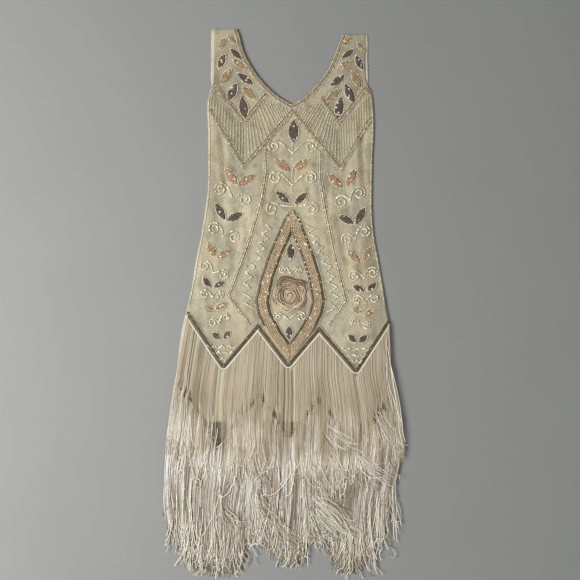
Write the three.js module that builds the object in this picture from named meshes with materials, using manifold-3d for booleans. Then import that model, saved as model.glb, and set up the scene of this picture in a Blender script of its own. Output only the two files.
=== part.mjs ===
// Sleeveless flapper dress of beaded net, laid flat on its back on a level surface.
// Millimetres. +X is the viewer's right, +Y runs to the shoulders, +Z is up from the surface.
//
// A front and a back panel of net, cut as one length from the shoulders to a zigzag hem,
// lie on each other. A straight-hemmed lining shows under the skirt. Two tiers of long
// fringe hang from zigzag tapes, at the hip and at the hem, on the front and on the back.
// Beaded bands lie on the front: neckline, shoulder and bust chevrons, side lines,
// a pointed oval frame with a coiled rosette, and a band over each tier of fringe.

import * as THREE from 'three';
import { mergeVertices } from 'three/addons/utils/BufferGeometryUtils.js';
import Module from 'manifold-3d';

const wasm = await Module();
wasm.setup();

// Walls and gaps
const NET_WALL = 1.2;
const LINING_WALL = 1.0;
const SEAM_GAP = 0.3;
const BAND_GAP = 0.5; // under a band on the rolling front panel, whose facets are coarser
const HIP_BAND_GAP = 0.7; // the hip band crosses the steepest of those facets

// Lie of the cloth
const FRINGE_LIFT = 1.9; // the back panel rides over the fringe that lies under it
const LINING_LIFT = 2 * (LINING_WALL + SEAM_GAP);
const LIFT_TOP = 55; // the back panel leaves the surface here, towards the hem
const LIFT_END = 0;
const SWELL_TOP = 70; // the front panel rises over the linings here
const SWELL_END = 15;
const SEAM_ROLL = 18; // width over which the front comes down to a side seam
const SHOULDER_ROLL = 45;
const MOST_FOLD = 3.4;
const CROWN = 1.1;

// Levels along the garment
const V_POINT = { x: 14, y: 460 };
const HIP = -10; // rows run level above this, and fan to the zigzag hem below it
const LEFT_SHOULDER = 634;
const RIGHT_SHOULDER = 622;
const LINING_TOP = -2;
const LINING_HEM = -267;
const LINING_INSET = { left: 27, right: 22 };

// Half widths of the outline, from the shoulders to the hem
const FRONT_OUTLINE = [
  { y: 634, left: -164, right: 180 },
  { y: 597, left: -165, right: 181 },
  { y: 555, left: -165, right: 181 },
  { y: 514, left: -167, right: 184 },
  { y: 486, left: -176, right: 196 },
  { y: 459, left: -181, right: 200 },
  { y: 404, left: -179, right: 202 },
  { y: 335, left: -179, right: 199 },
  { y: 266, left: -180, right: 198 },
  { y: 210, left: -187, right: 198 },
  { y: 155, left: -196, right: 203 },
  { y: 100, left: -207, right: 213 },
  { y: 45, left: -216, right: 222 },
  { y: -10, left: -228, right: 230 },
  { y: -45, left: -233, right: 236 },
  { y: -102, left: -240, right: 238 },
  { y: -178, left: -250, right: 239 },
  { y: -227, left: -252, right: 239 },
  { y: -340, left: -254, right: 239 },
];
const BACK_STRAP_SHOWS = 7; // the back straps reach past the front ones at the armholes
const BACK_STRAP_END = 500;
const EDGE_FADE = 20; // length over which the straps and the neck edges part

const NECKLINE = [
  { y: 634, left: -112, right: 130 },
  { y: 618, left: -106, right: 127 },
  { y: 581, left: -97, right: 114 },
  { y: 542, left: -76, right: 97 },
  { y: 507, left: -49, right: 71 },
  { y: 478, left: -17, right: 43 },
  { y: 460, left: 14, right: 14 },
];
const BACK_NECK_INSET = 3;

const CENTRE_LINE = [
  { y: 634, x: 14 },
  { y: 460, x: 14 },
  { y: -138, x: 5 },
  { y: -340, x: 7 },
];

// Zigzags from the left side seam to the right
const HIP_ZIGZAG = [
  { x: -225, y: -17 },
  { x: -143, y: -141 },
  { x: -64, y: -47 },
  { x: 5, y: -138 },
  { x: 76, y: -54 },
  { x: 160, y: -151 },
  { x: 233, y: -38 },
];
const HEM_ZIGZAG = [
  { x: -250, y: -178 },
  { x: -159, y: -325 },
  { x: -60, y: -213 },
  { x: 7, y: -305 },
  { x: 74, y: -224 },
  { x: 156, y: -328 },
  { x: 239, y: -226 },
];

// Share of the way across each half, with one column on every tip and peak of the hem
const LEFT_COLUMNS = [0, 0.03, 0.09, 0.18, 0.27, 0.354, 0.45, 0.55, 0.645, 0.739, 0.87, 1];
const RIGHT_COLUMNS = [0, 0.147, 0.289, 0.38, 0.47, 0.56, 0.642, 0.74, 0.83, 0.91, 0.97, 1];
const BACK_LEFT_COLUMNS = [0, 0.354, 0.739, 1];
const BACK_RIGHT_COLUMNS = [0, 0.289, 0.642, 1];

// Soft ridges of the front panel, each along a line from top to bottom
const FOLDS = [
  { topX: 152, topY: 400, bottomX: 171, bottomY: 60, half: 26, rise: 2.3 },
  { topX: 110, topY: 330, bottomX: 128, bottomY: 30, half: 24, rise: 1.5 },
  { topX: -152, topY: 430, bottomX: -168, bottomY: 150, half: 24, rise: 2.2 },
  { topX: -118, topY: 300, bottomX: -150, bottomY: 20, half: 26, rise: 1.6 },
  { topX: -52, topY: 410, bottomX: -60, bottomY: 120, half: 30, rise: 1.2 },
  { topX: 70, topY: 420, bottomX: 84, bottomY: 150, half: 28, rise: 1.3 },
  { topX: -140, topY: 600, bottomX: -120, bottomY: 470, half: 22, rise: 1.4 },
  { topX: 152, topY: 590, bottomX: 140, bottomY: 470, half: 22, rise: 1.4 },
  { topX: 20, topY: 380, bottomX: 8, bottomY: 240, half: 34, rise: 0.9 },
];

// Beaded bands on the front, by centre line
const BAND = { rise: 1.0, step: 14 };
const NECK_BAND = { width: 6, inset: 4.5, rise: 1.6 };
const CHEVRON_WIDTH = 8;
const SIDE_LINE_WIDTH = 5;
const HEM_BAND_WIDTH = 9;
const HEM_BAND_OFF_EDGE = 1; // the band stops this far inside the hem
const HEM_BAND_INSET = 6; // and this far inside the side seams
const SHOULDER_CHEVRON_LEFT = [
  { x: -170, y: 486 },
  { x: -160, y: 496 },
  { x: -96, y: 420 },
  { x: -46, y: 482 },
];
const SHOULDER_CHEVRON_RIGHT = [
  { x: 80, y: 475 },
  { x: 121, y: 418 },
  { x: 182, y: 496 },
  { x: 190, y: 486 },
];
const BUST_CHEVRON = [
  { x: -175, y: 447 },
  { x: -97, y: 318 },
  { x: 15, y: 445 },
  { x: 125, y: 313 },
  { x: 194, y: 428 },
];
const SIDE_LINE_LEFT = [
  { x: -48, y: 361 },
  { x: -47, y: 300 },
  { x: -56, y: 245 },
  { x: -80, y: 160 },
  { x: -131, y: 20 },
  { x: -83, y: -44 },
];
const SIDE_LINE_RIGHT = [
  { x: 78, y: 352 },
  { x: 77, y: 290 },
  { x: 89, y: 221 },
  { x: 107, y: 130 },
  { x: 136, y: 10 },
  { x: 98, y: -47 },
];

// Pointed oval frame: its outer and inner edge on each side, from the top point down
const OVAL_TOP = 217;
const OVAL_BOTTOM = -120;
const OVAL_HALF = 1.0; // half the mitre gap between the two sides of the frame
const OVAL_TIP = 1.6; // half width of the frame's outer edge at its two points
const OVAL_STEP = 22;
const OVAL_LEVELS = [
  { y: 168, outer: 28, inner: OVAL_HALF },
  { y: 119, outer: 48, inner: 24 },
  { y: 64, outer: 66, inner: 43 },
  { y: 8, outer: 77, inner: 53 },
  { y: -20, outer: 71, inner: 46 },
  { y: -60, outer: 51, inner: 23 },
  { y: -90, outer: 28, inner: OVAL_HALF },
];
const OVAL_LEAN = { x: 9.6, perY: 0.022 }; // the axis of the frame leans with the centre line

const ROSETTE = { x: 8, y: 22, radius: 41, core: 6, ridges: 5, rise: 2.6, sides: 26 };

// Fringe
const TAPE = { width: 6, rise: 1.2 };
const STRAND = { width: 6.4, rise: 1.3, tipShare: 0.55, rootRise: 0.9, rootInset: 0.1, rootShare: 0.8 };
const STRAND_LEVELS = { belowRoot: 16, aboveEnd: 12, apart: 60 }; // room between its bends
const EDGE_SHARE = 0.008; // the outermost strands keep this far inside the outline
const STRANDS = { hipFront: 50, hemFront: 56, hipBack: 34, hemBack: 38 };
const FRINGE_OUTLINE = [
  { y: -17, left: -224, right: 233 },
  { y: -102, left: -240, right: 237 },
  { y: -162, left: -250, right: 241 },
  { y: -203, left: -258, right: 250 },
  { y: -245, left: -264, right: 257 },
  { y: -300, left: -270, right: 263 },
  { y: -355, left: -274, right: 265 },
  { y: -410, left: -277, right: 259 },
  { y: -465, left: -280, right: 253 },
  { y: -520, left: -279, right: 248 },
  { y: -640, left: -272, right: 240 },
];
// Height of a strand's underside, at levels that all strands share
const HIP_FRONT_LIE = [
  { y: 0, z: 7.6 },
  { y: -120, z: 7.6 },
  { y: -185, z: 8.8 },
  { y: -335, z: 8.8 },
  { y: -425, z: 5.1 },
  { y: -475, z: 3.4 },
  { y: -640, z: 3.4 },
];
const HEM_FRONT_LIE = [
  { y: 0, z: 6.0 },
  { y: -335, z: 6.0 },
  { y: -425, z: 3.5 },
  { y: -475, z: 1.8 },
  { y: -640, z: 1.8 },
];
const HIP_BACK_LIE = [
  { y: 0, z: 0.2 },
  { y: -640, z: 0.2 },
];
const HEM_BACK_LIE = [
  { y: 0, z: 1.9 },
  { y: -425, z: 1.9 },
  { y: -475, z: 0.2 },
  { y: -640, z: 0.2 },
];
// Where the strands of each tier end, by share of the width from the left
const HIP_ENDS = [
  { share: 0, y: -345 },
  { share: 0.1, y: -392 },
  { share: 0.28, y: -418 },
  { share: 0.45, y: -400 },
  { share: 0.62, y: -422 },
  { share: 0.85, y: -430 },
  { share: 1, y: -352 },
];
const HEM_ENDS = [
  { share: 0, y: -537 },
  { share: 0.034, y: -572 },
  { share: 0.078, y: -604 },
  { share: 0.134, y: -622 },
  { share: 0.263, y: -627 },
  { share: 0.315, y: -614 },
  { share: 0.353, y: -562 },
  { share: 0.405, y: -551 },
  { share: 0.457, y: -569 },
  { share: 0.5, y: -597 },
  { share: 0.565, y: -610 },
  { share: 0.603, y: -597 },
  { share: 0.638, y: -560 },
  { share: 0.728, y: -558 },
  { share: 0.763, y: -606 },
  { share: 0.8, y: -628 },
  { share: 0.879, y: -621 },
  { share: 0.931, y: -572 },
  { share: 0.974, y: -546 },
  { share: 1, y: -516 },
];
const END_JITTER = 9;
const SWAY = { reach: 5, wave: 150, lag: 9, start: -120, full: -370 }; // neighbours sway together

// Colours
const NET_CREAM = 0xc9c2a0;
const LINING_YELLOW = 0xd6d1a6;
const BEAD_BRONZE = 0x8a7049;
const BEAD_GOLD = 0xc2a072;
const SEQUIN_DARK = 0x4c3c33;
const ROSETTE_ROSE = 0xb39a80;
const FRINGE_BEIGE = 0xcdbf9f;

const FLAT = 1e-6; // less than this is nothing
const WELD = 1e-4; // corners nearer than this are one

const clamp = (value, low, high) => Math.min(high, Math.max(low, value));
const lerp = THREE.MathUtils.lerp;
const key = (x, y) => `${x.toFixed(4)},${y.toFixed(4)}`;

/** The named column of a table at a place along it, smooth between its rows. */
function smoothAt(rows, along, name, place) {
  const order = Math.sign(rows[rows.length - 1][along] - rows[0][along]);
  const last = rows.length - 2;
  let i = 0;
  while (i < last && order * (place - rows[i + 1][along]) > 0) i += 1;
  const [a, b] = [rows[i], rows[i + 1]];
  const span = b[along] - a[along];
  const t = clamp((place - a[along]) / span, 0, 1);
  const slope = (p, q) => (q[name] - p[name]) / (q[along] - p[along]);
  const into = slope(rows[Math.max(i - 1, 0)], b) * span;
  const outOf = slope(a, rows[Math.min(i + 2, last + 1)]) * span;
  const [t2, t3] = [t * t, t * t * t];
  return (2 * t3 - 3 * t2 + 1) * a[name] + (t3 - 2 * t2 + t) * into
    + (3 * t2 - 2 * t3) * b[name] + (t3 - t2) * outOf;
}

/** The named column of a table at a place along it, straight between its rows. */
function straightAt(rows, along, name, place) {
  const order = Math.sign(rows[rows.length - 1][along] - rows[0][along]);
  const last = rows.length - 2;
  let i = 0;
  while (i < last && order * (place - rows[i + 1][along]) > 0) i += 1;
  const [a, b] = [rows[i], rows[i + 1]];
  return lerp(a[name], b[name], clamp((place - a[along]) / (b[along] - a[along]), 0, 1));
}

/** A repeatable number from 0 to 1 for a whole number. */
function chance(n) {
  const wave = Math.sin(n * 127.1 + 11.7) * 43758.5453;
  return wave - Math.floor(wave);
}

const centreX = (y) => straightAt(CENTRE_LINE, 'y', 'x', y);
const frontLeft = (y) => smoothAt(FRONT_OUTLINE, 'y', 'left', y);
const frontRight = (y) => smoothAt(FRONT_OUTLINE, 'y', 'right', y);
const strapShows = (y) => BACK_STRAP_SHOWS * clamp((y - BACK_STRAP_END) / EDGE_FADE, 0, 1);
const backLeft = (y) => frontLeft(y) - strapShows(y);
const backRight = (y) => frontRight(y) + strapShows(y);

/** Lift of the back panel off the surface. */
const backLift = (y) => FRINGE_LIFT * clamp((LIFT_TOP - y) / (LIFT_TOP - LIFT_END), 0, 1);

/** How far a point is from coming down to a side seam, 0 at the seam and 1 inside it. */
const fromSeam = (x, y) => clamp(Math.min(x - frontLeft(y), frontRight(y) - x) / SEAM_ROLL, 0, 1);

/** Rise of the front panel's folds over the back. */
function foldRise(x, y) {
  let rise = CROWN;
  for (const fold of FOLDS) {
    const t = (fold.topY - y) / (fold.topY - fold.bottomY);
    const across = (x - lerp(fold.topX, fold.bottomX, t)) / fold.half;
    const fade = clamp(3 * t + 0.6, 0, 1) * clamp(3 * (1 - t) + 0.6, 0, 1);
    rise += fold.rise * fade * Math.exp(-across * across);
  }
  const seams = fromSeam(x, y) * clamp((LEFT_SHOULDER - y) / SHOULDER_ROLL, 0, 1);
  const skirt = clamp((y - SWELL_END) / (SWELL_TOP - SWELL_END), 0, 1);
  return Math.min(rise, MOST_FOLD) * seams * skirt;
}

/** Underside of the front panel. */
function frontBottom(x, y) {
  const swell = LINING_LIFT * clamp((SWELL_TOP - y) / (SWELL_TOP - SWELL_END), 0, 1);
  return backLift(y) + NET_WALL + SEAM_GAP + swell * fromSeam(x, y) + foldRise(x, y);
}

/** Rows of points across one half of a panel, from its shoulder to the zigzag hem. */
function halfRows(levels, hemSteps, columns, outer, inner, hem) {
  const point = (y, share) => ({ x: lerp(outer(y), inner(y), share), y });
  const rows = levels.map((y) => columns.map((share) => point(y, share)));
  const hemOf = (share) => {
    const x = lerp(hem.outer, hem.inner, share);
    return { x, y: straightAt(HEM_ZIGZAG, 'x', 'y', x) };
  };
  for (let k = 1; k <= hemSteps; k += 1) {
    rows.push(columns.map((share) => {
      const end = hemOf(share);
      const y = lerp(HIP, end.y, k / hemSteps);
      return k === hemSteps ? end : { x: lerp(point(y, share).x, end.x, k / hemSteps), y };
    }));
  }
  return rows;
}

/** The flat triangles of a grid of points, counter-clockwise from above. */
function gridTriangles(rows) {
  const triangles = [];
  for (let i = 0; i + 1 < rows.length; i += 1) {
    for (let j = 0; j + 1 < rows[i].length; j += 1) {
      const [a, b] = [rows[i][j], rows[i][j + 1]];
      const [c, d] = [rows[i + 1][j], rows[i + 1][j + 1]];
      triangles.push([a, c, b], [b, c, d]);
    }
  }
  const turn = ([a, b, c]) => (b.x - a.x) * (c.y - a.y) - (b.y - a.y) * (c.x - a.x);
  return triangles
    .filter((t) => Math.abs(turn(t)) > FLAT)
    .map((t) => (turn(t) > 0 ? t : [t[0], t[2], t[1]]));
}

/** A closed wall over flat triangles, between a lower and an upper surface. */
function wall(triangles, bottom, top) {
  const positions = [];
  const low = (p) => positions.push(p.x, p.y, bottom(p.x, p.y));
  const high = (p) => positions.push(p.x, p.y, top(p.x, p.y));
  const rim = new Map();
  for (const [a, b, c] of triangles) {
    [a, b, c].forEach(high);
    [a, c, b].forEach(low);
    for (const [p, q] of [[a, b], [b, c], [c, a]]) {
      const back = key(q.x, q.y) + key(p.x, p.y);
      if (rim.has(back)) rim.delete(back);
      else rim.set(key(p.x, p.y) + key(q.x, q.y), [p, q]);
    }
  }
  for (const [p, q] of rim.values()) {
    [p, q].forEach(low);
    high(q);
    low(p);
    [q, p].forEach(high);
  }
  const geometry = new THREE.BufferGeometry();
  geometry.setAttribute('position', new THREE.Float32BufferAttribute(positions, 3));
  return geometry;
}

/** Height of a facetted upper surface over a point, or null beside it. */
function surfaceOver(triangles, top) {
  return (x, y) => {
    for (const [a, b, c] of triangles) {
      const whole = (b.x - a.x) * (c.y - a.y) - (b.y - a.y) * (c.x - a.x);
      const u = ((b.x - x) * (c.y - y) - (b.y - y) * (c.x - x)) / whole;
      const v = ((c.x - x) * (a.y - y) - (c.y - y) * (a.x - x)) / whole;
      if (u > -FLAT && v > -FLAT && u + v < 1 + FLAT) {
        return u * top(a.x, a.y) + v * top(b.x, b.y) + (1 - u - v) * top(c.x, c.y);
      }
    }
    return null;
  };
}

/** A path moved sideways, to the left of its direction, with mitred corners. */
function offsetPath(path, distance) {
  const normal = (a, b) => new THREE.Vector2(a.y - b.y, b.x - a.x).normalize();
  return path.map((p, i) => {
    const before = normal(path[Math.max(i - 1, 0)], path[Math.max(i, 1)]);
    const after = normal(path[Math.min(i, path.length - 2)], path[Math.min(i + 1, path.length - 1)]);
    const mitre = before.clone().add(after).normalize();
    const reach = distance / mitre.dot(after);
    return { x: p.x + mitre.x * reach, y: p.y + mitre.y * reach };
  });
}

/** Shares of the way along each leg of a path, about a step apart. */
function alongLegs(path, step) {
  const stops = [];
  path.slice(1).forEach((b, i) => {
    const a = path[i];
    const count = Math.max(1, Math.round(Math.hypot(b.x - a.x, b.y - a.y) / step));
    for (let k = i ? 1 : 0; k <= count; k += 1) stops.push({ leg: i, share: k / count });
  });
  return stops;
}

/** The flat triangles of a ribbon between two paths with the same number of corners. */
function ribbonTriangles(one, two, step) {
  const on = (path, { leg, share }) => ({
    x: lerp(path[leg].x, path[leg + 1].x, share),
    y: lerp(path[leg].y, path[leg + 1].y, share),
  });
  const rows = alongLegs(one, step).map((stop) => [on(one, stop), on(two, stop)]);
  return gridTriangles(rows);
}

/** The flat triangles of a band of even width along a path. */
function bandTriangles(path, width, step) {
  return ribbonTriangles(offsetPath(path, width / 2), offsetPath(path, -width / 2), step);
}

/** A geometry as a solid that can be joined. */
function solidOf(geometry) {
  const merged = mergeVertices(geometry, WELD);
  return new wasm.Manifold(new wasm.Mesh({
    numProp: 3,
    vertProperties: merged.attributes.position.array,
    triVerts: new Uint32Array(merged.index.array),
  }));
}

/** A joined solid as a geometry. */
function geometryOf(solid) {
  const made = solid.getMesh();
  const geometry = new THREE.BufferGeometry();
  geometry.setAttribute('position', new THREE.BufferAttribute(new Float32Array(made.vertProperties), 3));
  geometry.setIndex(new THREE.BufferAttribute(new Uint32Array(made.triVerts), 1));
  return geometry;
}

/** One three-sided strand: flat below, with a ridge, through points with a width each. */
function strandGeometry(points) {
  const rings = points.map((p, i) => {
    const before = points[Math.max(i - 1, 0)];
    const after = points[Math.min(i + 1, points.length - 1)];
    const side = new THREE.Vector2(before.y - after.y, after.x - before.x).normalize();
    const half = p.width / 2;
    return [
      [p.x - side.x * half, p.y - side.y * half, p.z],
      [p.x + side.x * half, p.y + side.y * half, p.z],
      [p.x, p.y, p.z + p.rise],
    ];
  });
  const positions = [];
  const face = (a, b, c) => positions.push(...a, ...b, ...c);
  for (let i = 0; i + 1 < rings.length; i += 1) {
    for (let k = 0; k < 3; k += 1) {
      const [a, b] = [rings[i][k], rings[i][(k + 1) % 3]];
      const [c, d] = [rings[i + 1][k], rings[i + 1][(k + 1) % 3]];
      face(a, b, c);
      face(b, d, c);
    }
  }
  const [root, tip] = [rings[0], rings[rings.length - 1]];
  face(root[2], root[1], root[0]);
  face(tip[0], tip[1], tip[2]);
  const geometry = new THREE.BufferGeometry();
  geometry.setAttribute('position', new THREE.Float32BufferAttribute(positions, 3));
  return geometry;
}

/** Sideways sway of the fringe at a point, the same for neighbours. */
const sway = (share, y) => SWAY.reach * Math.sin(y / SWAY.wave * Math.PI + share * SWAY.lag)
  * clamp((SWAY.start - y) / (SWAY.start - SWAY.full), 0, 1);

/** Points down one strand, from its root on the tape to its end. */
function strandPoints(root, lie, end) {
  const edge = (y, name) => smoothAt(FRINGE_OUTLINE, 'y', name, y);
  const [rootLeft, rootRight] = [edge(root.y, 'left'), edge(root.y, 'right')];
  const share = clamp((root.x - rootLeft) / (rootRight - rootLeft), EDGE_SHARE, 1 - EDGE_SHARE);
  const rootDrift = root.x - lerp(rootLeft, rootRight, share);
  const levels = lie.map((row) => row.y).filter((y) => (
    y < root.y - STRAND_LEVELS.belowRoot && y > end + STRAND_LEVELS.aboveEnd));
  const middle = [(root.y + end) / 2, ...levels];
  const stops = [...new Set(middle)].sort((a, b) => b - a).filter((y, i, all) => (
    levels.includes(y)
    || !all.some((other) => other !== y && Math.abs(other - y) < STRAND_LEVELS.apart)));
  const start = {
    x: root.x,
    y: root.y,
    z: root.z + STRAND.rootInset,
    rise: STRAND.rootRise,
    width: STRAND.width * STRAND.rootShare,
  };
  const rest = [...stops, end].map((y) => ({
    x: lerp(edge(y, 'left'), edge(y, 'right'), share) + sway(share, y) + rootDrift,
    y,
    z: straightAt(lie, 'y', 'z', y),
    rise: STRAND.rise * (y === end ? STRAND.tipShare : 1),
    width: STRAND.width * (y === end ? STRAND.tipShare : 1),
  }));
  return [start, ...rest];
}

/** A tier of fringe: a zigzag tape with strands fused into it by their roots. */
function fringe(tapePath, tapeBottom, count, lie, ends, seed) {
  const tape = bandTriangles(tapePath, TAPE.width, BAND.step);
  const tapeTop = (x, y) => tapeBottom(x, y) + TAPE.rise;
  const solids = [solidOf(wall(tape, tapeBottom, tapeTop))];
  const first = tapePath[0].x + TAPE.width;
  const last = tapePath[tapePath.length - 1].x - TAPE.width;
  for (let k = 0; k < count; k += 1) {
    const share = k / (count - 1);
    const x = lerp(first, last, share);
    const y = straightAt(tapePath, 'x', 'y', x);
    const end = straightAt(ends, 'share', 'y', share) + END_JITTER * (2 * chance(seed + k) - 1);
    solids.push(solidOf(strandGeometry(strandPoints({ x, y, z: tapeBottom(x, y) }, lie, end))));
  }
  return geometryOf(wasm.Manifold.union(solids));
}

/** One side of the pointed oval frame: -1 is the left, 1 is the right. */
function ovalSide(side) {
  const axis = (y) => OVAL_LEAN.x + OVAL_LEAN.perY * y;
  const levels = [
    { y: OVAL_TOP, outer: OVAL_TIP, inner: OVAL_HALF },
    ...OVAL_LEVELS,
    { y: OVAL_BOTTOM, outer: OVAL_TIP, inner: OVAL_HALF },
  ];
  const edge = (name) => levels.map((row) => ({ x: axis(row.y) + side * row[name], y: row.y }));
  return ribbonTriangles(edge('outer'), edge('inner'), OVAL_STEP);
}

/** Flat-backed coil of cord: a low round of ridges about a raised core. */
function rosetteGeometry(over) {
  const profile = [new THREE.Vector2(0, 0), new THREE.Vector2(ROSETTE.radius, 0)];
  const pitch = (ROSETTE.radius - ROSETTE.core) / ROSETTE.ridges;
  for (let k = 0; k < ROSETTE.ridges; k += 1) {
    const outer = ROSETTE.radius - k * pitch;
    profile.push(new THREE.Vector2(outer - pitch * 0.45, ROSETTE.rise * 0.85));
    profile.push(new THREE.Vector2(outer - pitch, ROSETTE.rise * 0.45));
  }
  profile.push(new THREE.Vector2(ROSETTE.core * 0.5, ROSETTE.rise));
  profile.push(new THREE.Vector2(0, ROSETTE.rise));
  const geometry = new THREE.LatheGeometry(profile, ROSETTE.sides);
  geometry.rotateX(Math.PI / 2);
  geometry.translate(ROSETTE.x, ROSETTE.y, 0);
  geometry.deleteAttribute('normal');
  geometry.deleteAttribute('uv');
  const position = geometry.attributes.position;
  for (let i = 0; i < position.count; i += 1) {
    position.setZ(i, position.getZ(i) + over(position.getX(i), position.getY(i)));
  }
  return mergeVertices(geometry, WELD);
}

const dress = new THREE.Group();

function add(name, geometry, color, roughness = 0.8, metalness = 0) {
  const material = new THREE.MeshStandardMaterial({ color, roughness, metalness });
  const mesh = new THREE.Mesh(geometry, material);
  mesh.name = name;
  dress.add(mesh);
}

const evenly = (from, to, count) => Array.from({ length: count + 1 }, (_, k) => lerp(from, to, k / count));
const lowerLevels = [SWELL_TOP, LIFT_TOP, (LIFT_TOP + SWELL_END) / 2, SWELL_END, LIFT_END, HIP];

/** The flat triangles of a whole panel, both halves with the neckline between them. */
function panelTriangles(strapRows, bodyRows, hemSteps, leftColumns, rightColumns, outline, neckInset) {
  const neck = (name, sign) => (y) => (y > V_POINT.y
    ? smoothAt(NECKLINE, 'y', name, y) + sign * neckInset * clamp((y - V_POINT.y) / EDGE_FADE, 0, 1)
    : centreX(y));
  const levels = (shoulder) => [
    ...evenly(shoulder, V_POINT.y, strapRows),
    ...evenly(V_POINT.y, lowerLevels[0], bodyRows).slice(1),
    ...lowerLevels.slice(1),
  ];
  const [firstHem, middleHem, lastHem] = [HEM_ZIGZAG[0].x, HEM_ZIGZAG[3].x, HEM_ZIGZAG[6].x];
  const left = halfRows(levels(LEFT_SHOULDER), hemSteps, leftColumns,
    outline.left, neck('left', -1), { outer: firstHem, inner: middleHem });
  const right = halfRows(levels(RIGHT_SHOULDER), hemSteps, rightColumns.map((share) => 1 - share),
    outline.right, neck('right', 1), { outer: lastHem, inner: middleHem });
  return [...gridTriangles(left), ...gridTriangles(right)];
}

// Front and back panels
const frontTriangles = panelTriangles(9, 20, 7, LEFT_COLUMNS, RIGHT_COLUMNS,
  { left: frontLeft, right: frontRight }, 0);
const frontTop = (x, y) => frontBottom(x, y) + NET_WALL;
add('front_panel', wall(frontTriangles, frontBottom, frontTop), NET_CREAM);

const backTriangles = panelTriangles(6, 9, 3, BACK_LEFT_COLUMNS, BACK_RIGHT_COLUMNS,
  { left: backLeft, right: backRight }, BACK_NECK_INSET);
const backBottom = (x, y) => backLift(y);
add('back_panel', wall(backTriangles, backBottom, (x, y) => backLift(y) + NET_WALL), NET_CREAM);

// Linings, straight at the hem
function liningTriangles() {
  const rows = evenly(LINING_TOP, LINING_HEM, 4).map((y) => {
    const left = frontLeft(y) + LINING_INSET.left;
    const right = frontRight(y) - LINING_INSET.right;
    return evenly(left, right, 4).map((x) => ({ x, y }));
  });
  return gridTriangles(rows);
}

const backLiningBottom = FRINGE_LIFT + NET_WALL + SEAM_GAP;
const frontLiningBottom = backLiningBottom + LINING_WALL + SEAM_GAP;
for (const [name, bottom] of [['back_lining', backLiningBottom], ['front_lining', frontLiningBottom]]) {
  add(name, wall(liningTriangles(), () => bottom, () => bottom + LINING_WALL), LINING_YELLOW, 0.6);
}

// Beaded bands on the front panel, made from its own facets
const facetTop = surfaceOver(frontTriangles, frontTop);
const overFront = (gap) => (x, y) => {
  const found = facetTop(x, y);
  return (found === null ? frontTop(x, y) : found) + gap;
};

function addBand(name, triangles, color, rise = BAND.rise, gap = BAND_GAP) {
  const bottom = overFront(gap);
  add(name, wall(triangles, bottom, (x, y) => bottom(x, y) + rise), color, 0.5, 0.2);
}

/** Centre line of the band beside one edge of the neckline, from the shoulder to the V. */
function neckPath(name, side, shoulder) {
  const levels = [shoulder - SEAM_GAP, 618, 600, 581, 561, 542, 524, 507, 492, 478, 469];
  const path = levels.map((y) => ({ x: smoothAt(NECKLINE, 'y', name, y), y }));
  return offsetPath(path, side * NECK_BAND.inset);
}

addBand('neck_band_left', bandTriangles(neckPath('left', -1, LEFT_SHOULDER), NECK_BAND.width, BAND.step),
  BEAD_BRONZE, NECK_BAND.rise);
addBand('neck_band_right', bandTriangles(neckPath('right', 1, RIGHT_SHOULDER), NECK_BAND.width, BAND.step),
  BEAD_BRONZE, NECK_BAND.rise);

for (const [name, path, width, color] of [
  ['shoulder_chevron_left', SHOULDER_CHEVRON_LEFT, CHEVRON_WIDTH, BEAD_BRONZE],
  ['shoulder_chevron_right', SHOULDER_CHEVRON_RIGHT, CHEVRON_WIDTH, BEAD_BRONZE],
  ['bust_chevron', BUST_CHEVRON, CHEVRON_WIDTH, BEAD_GOLD],
  ['side_line_left', SIDE_LINE_LEFT, SIDE_LINE_WIDTH, BEAD_GOLD],
  ['side_line_right', SIDE_LINE_RIGHT, SIDE_LINE_WIDTH, BEAD_GOLD],
]) {
  addBand(name, bandTriangles(path, width, BAND.step), color);
}
addBand('hip_band', bandTriangles(HIP_ZIGZAG, HEM_BAND_WIDTH, BAND.step), SEQUIN_DARK,
  BAND.rise, HIP_BAND_GAP);

const hemBandPath = offsetPath(HEM_ZIGZAG, HEM_BAND_WIDTH / 2 + HEM_BAND_OFF_EDGE);
hemBandPath[0].x += HEM_BAND_INSET;
hemBandPath[hemBandPath.length - 1].x -= HEM_BAND_INSET;
addBand('hem_band', bandTriangles(hemBandPath, HEM_BAND_WIDTH, BAND.step), SEQUIN_DARK);

addBand('oval_frame_left', ovalSide(-1), BEAD_GOLD);
addBand('oval_frame_right', ovalSide(1), BEAD_GOLD);
add('rosette', rosetteGeometry(overFront(BAND_GAP)), ROSETTE_ROSE, 0.7);

// Fringe: the hip tapes lie on the panels, and the hem tapes lie beside their edges
const hipTapePath = offsetPath(HIP_ZIGZAG, -(HEM_BAND_WIDTH / 2 + SEAM_GAP + TAPE.width / 2));
const hemTapePath = offsetPath(HEM_ZIGZAG, -(SEAM_GAP + TAPE.width / 2));
const hemTapeBottom = (x) => {
  const inside = Math.min(x - hemTapePath[0].x, hemTapePath[hemTapePath.length - 1].x - x);
  return FRINGE_LIFT + NET_WALL + SEAM_GAP + LINING_LIFT * clamp(inside / SEAM_ROLL, 0, 1);
};
const lowest = (lie) => () => lie[0].z;
for (const [name, path, bottom, count, lie, ends, seed] of [
  ['hip_fringe_front', hipTapePath, overFront(BAND_GAP), STRANDS.hipFront, HIP_FRONT_LIE, HIP_ENDS, 1],
  ['hem_fringe_front', hemTapePath, hemTapeBottom, STRANDS.hemFront, HEM_FRONT_LIE, HEM_ENDS, 101],
  ['hip_fringe_back', hipTapePath, lowest(HIP_BACK_LIE), STRANDS.hipBack, HIP_BACK_LIE, HIP_ENDS, 201],
  ['hem_fringe_back', hemTapePath, lowest(HEM_BACK_LIE), STRANDS.hemBack, HEM_BACK_LIE, HEM_ENDS, 301],
]) {
  add(name, fringe(path, bottom, count, lie, ends, seed), FRINGE_BEIGE, 0.45);
}

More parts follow.
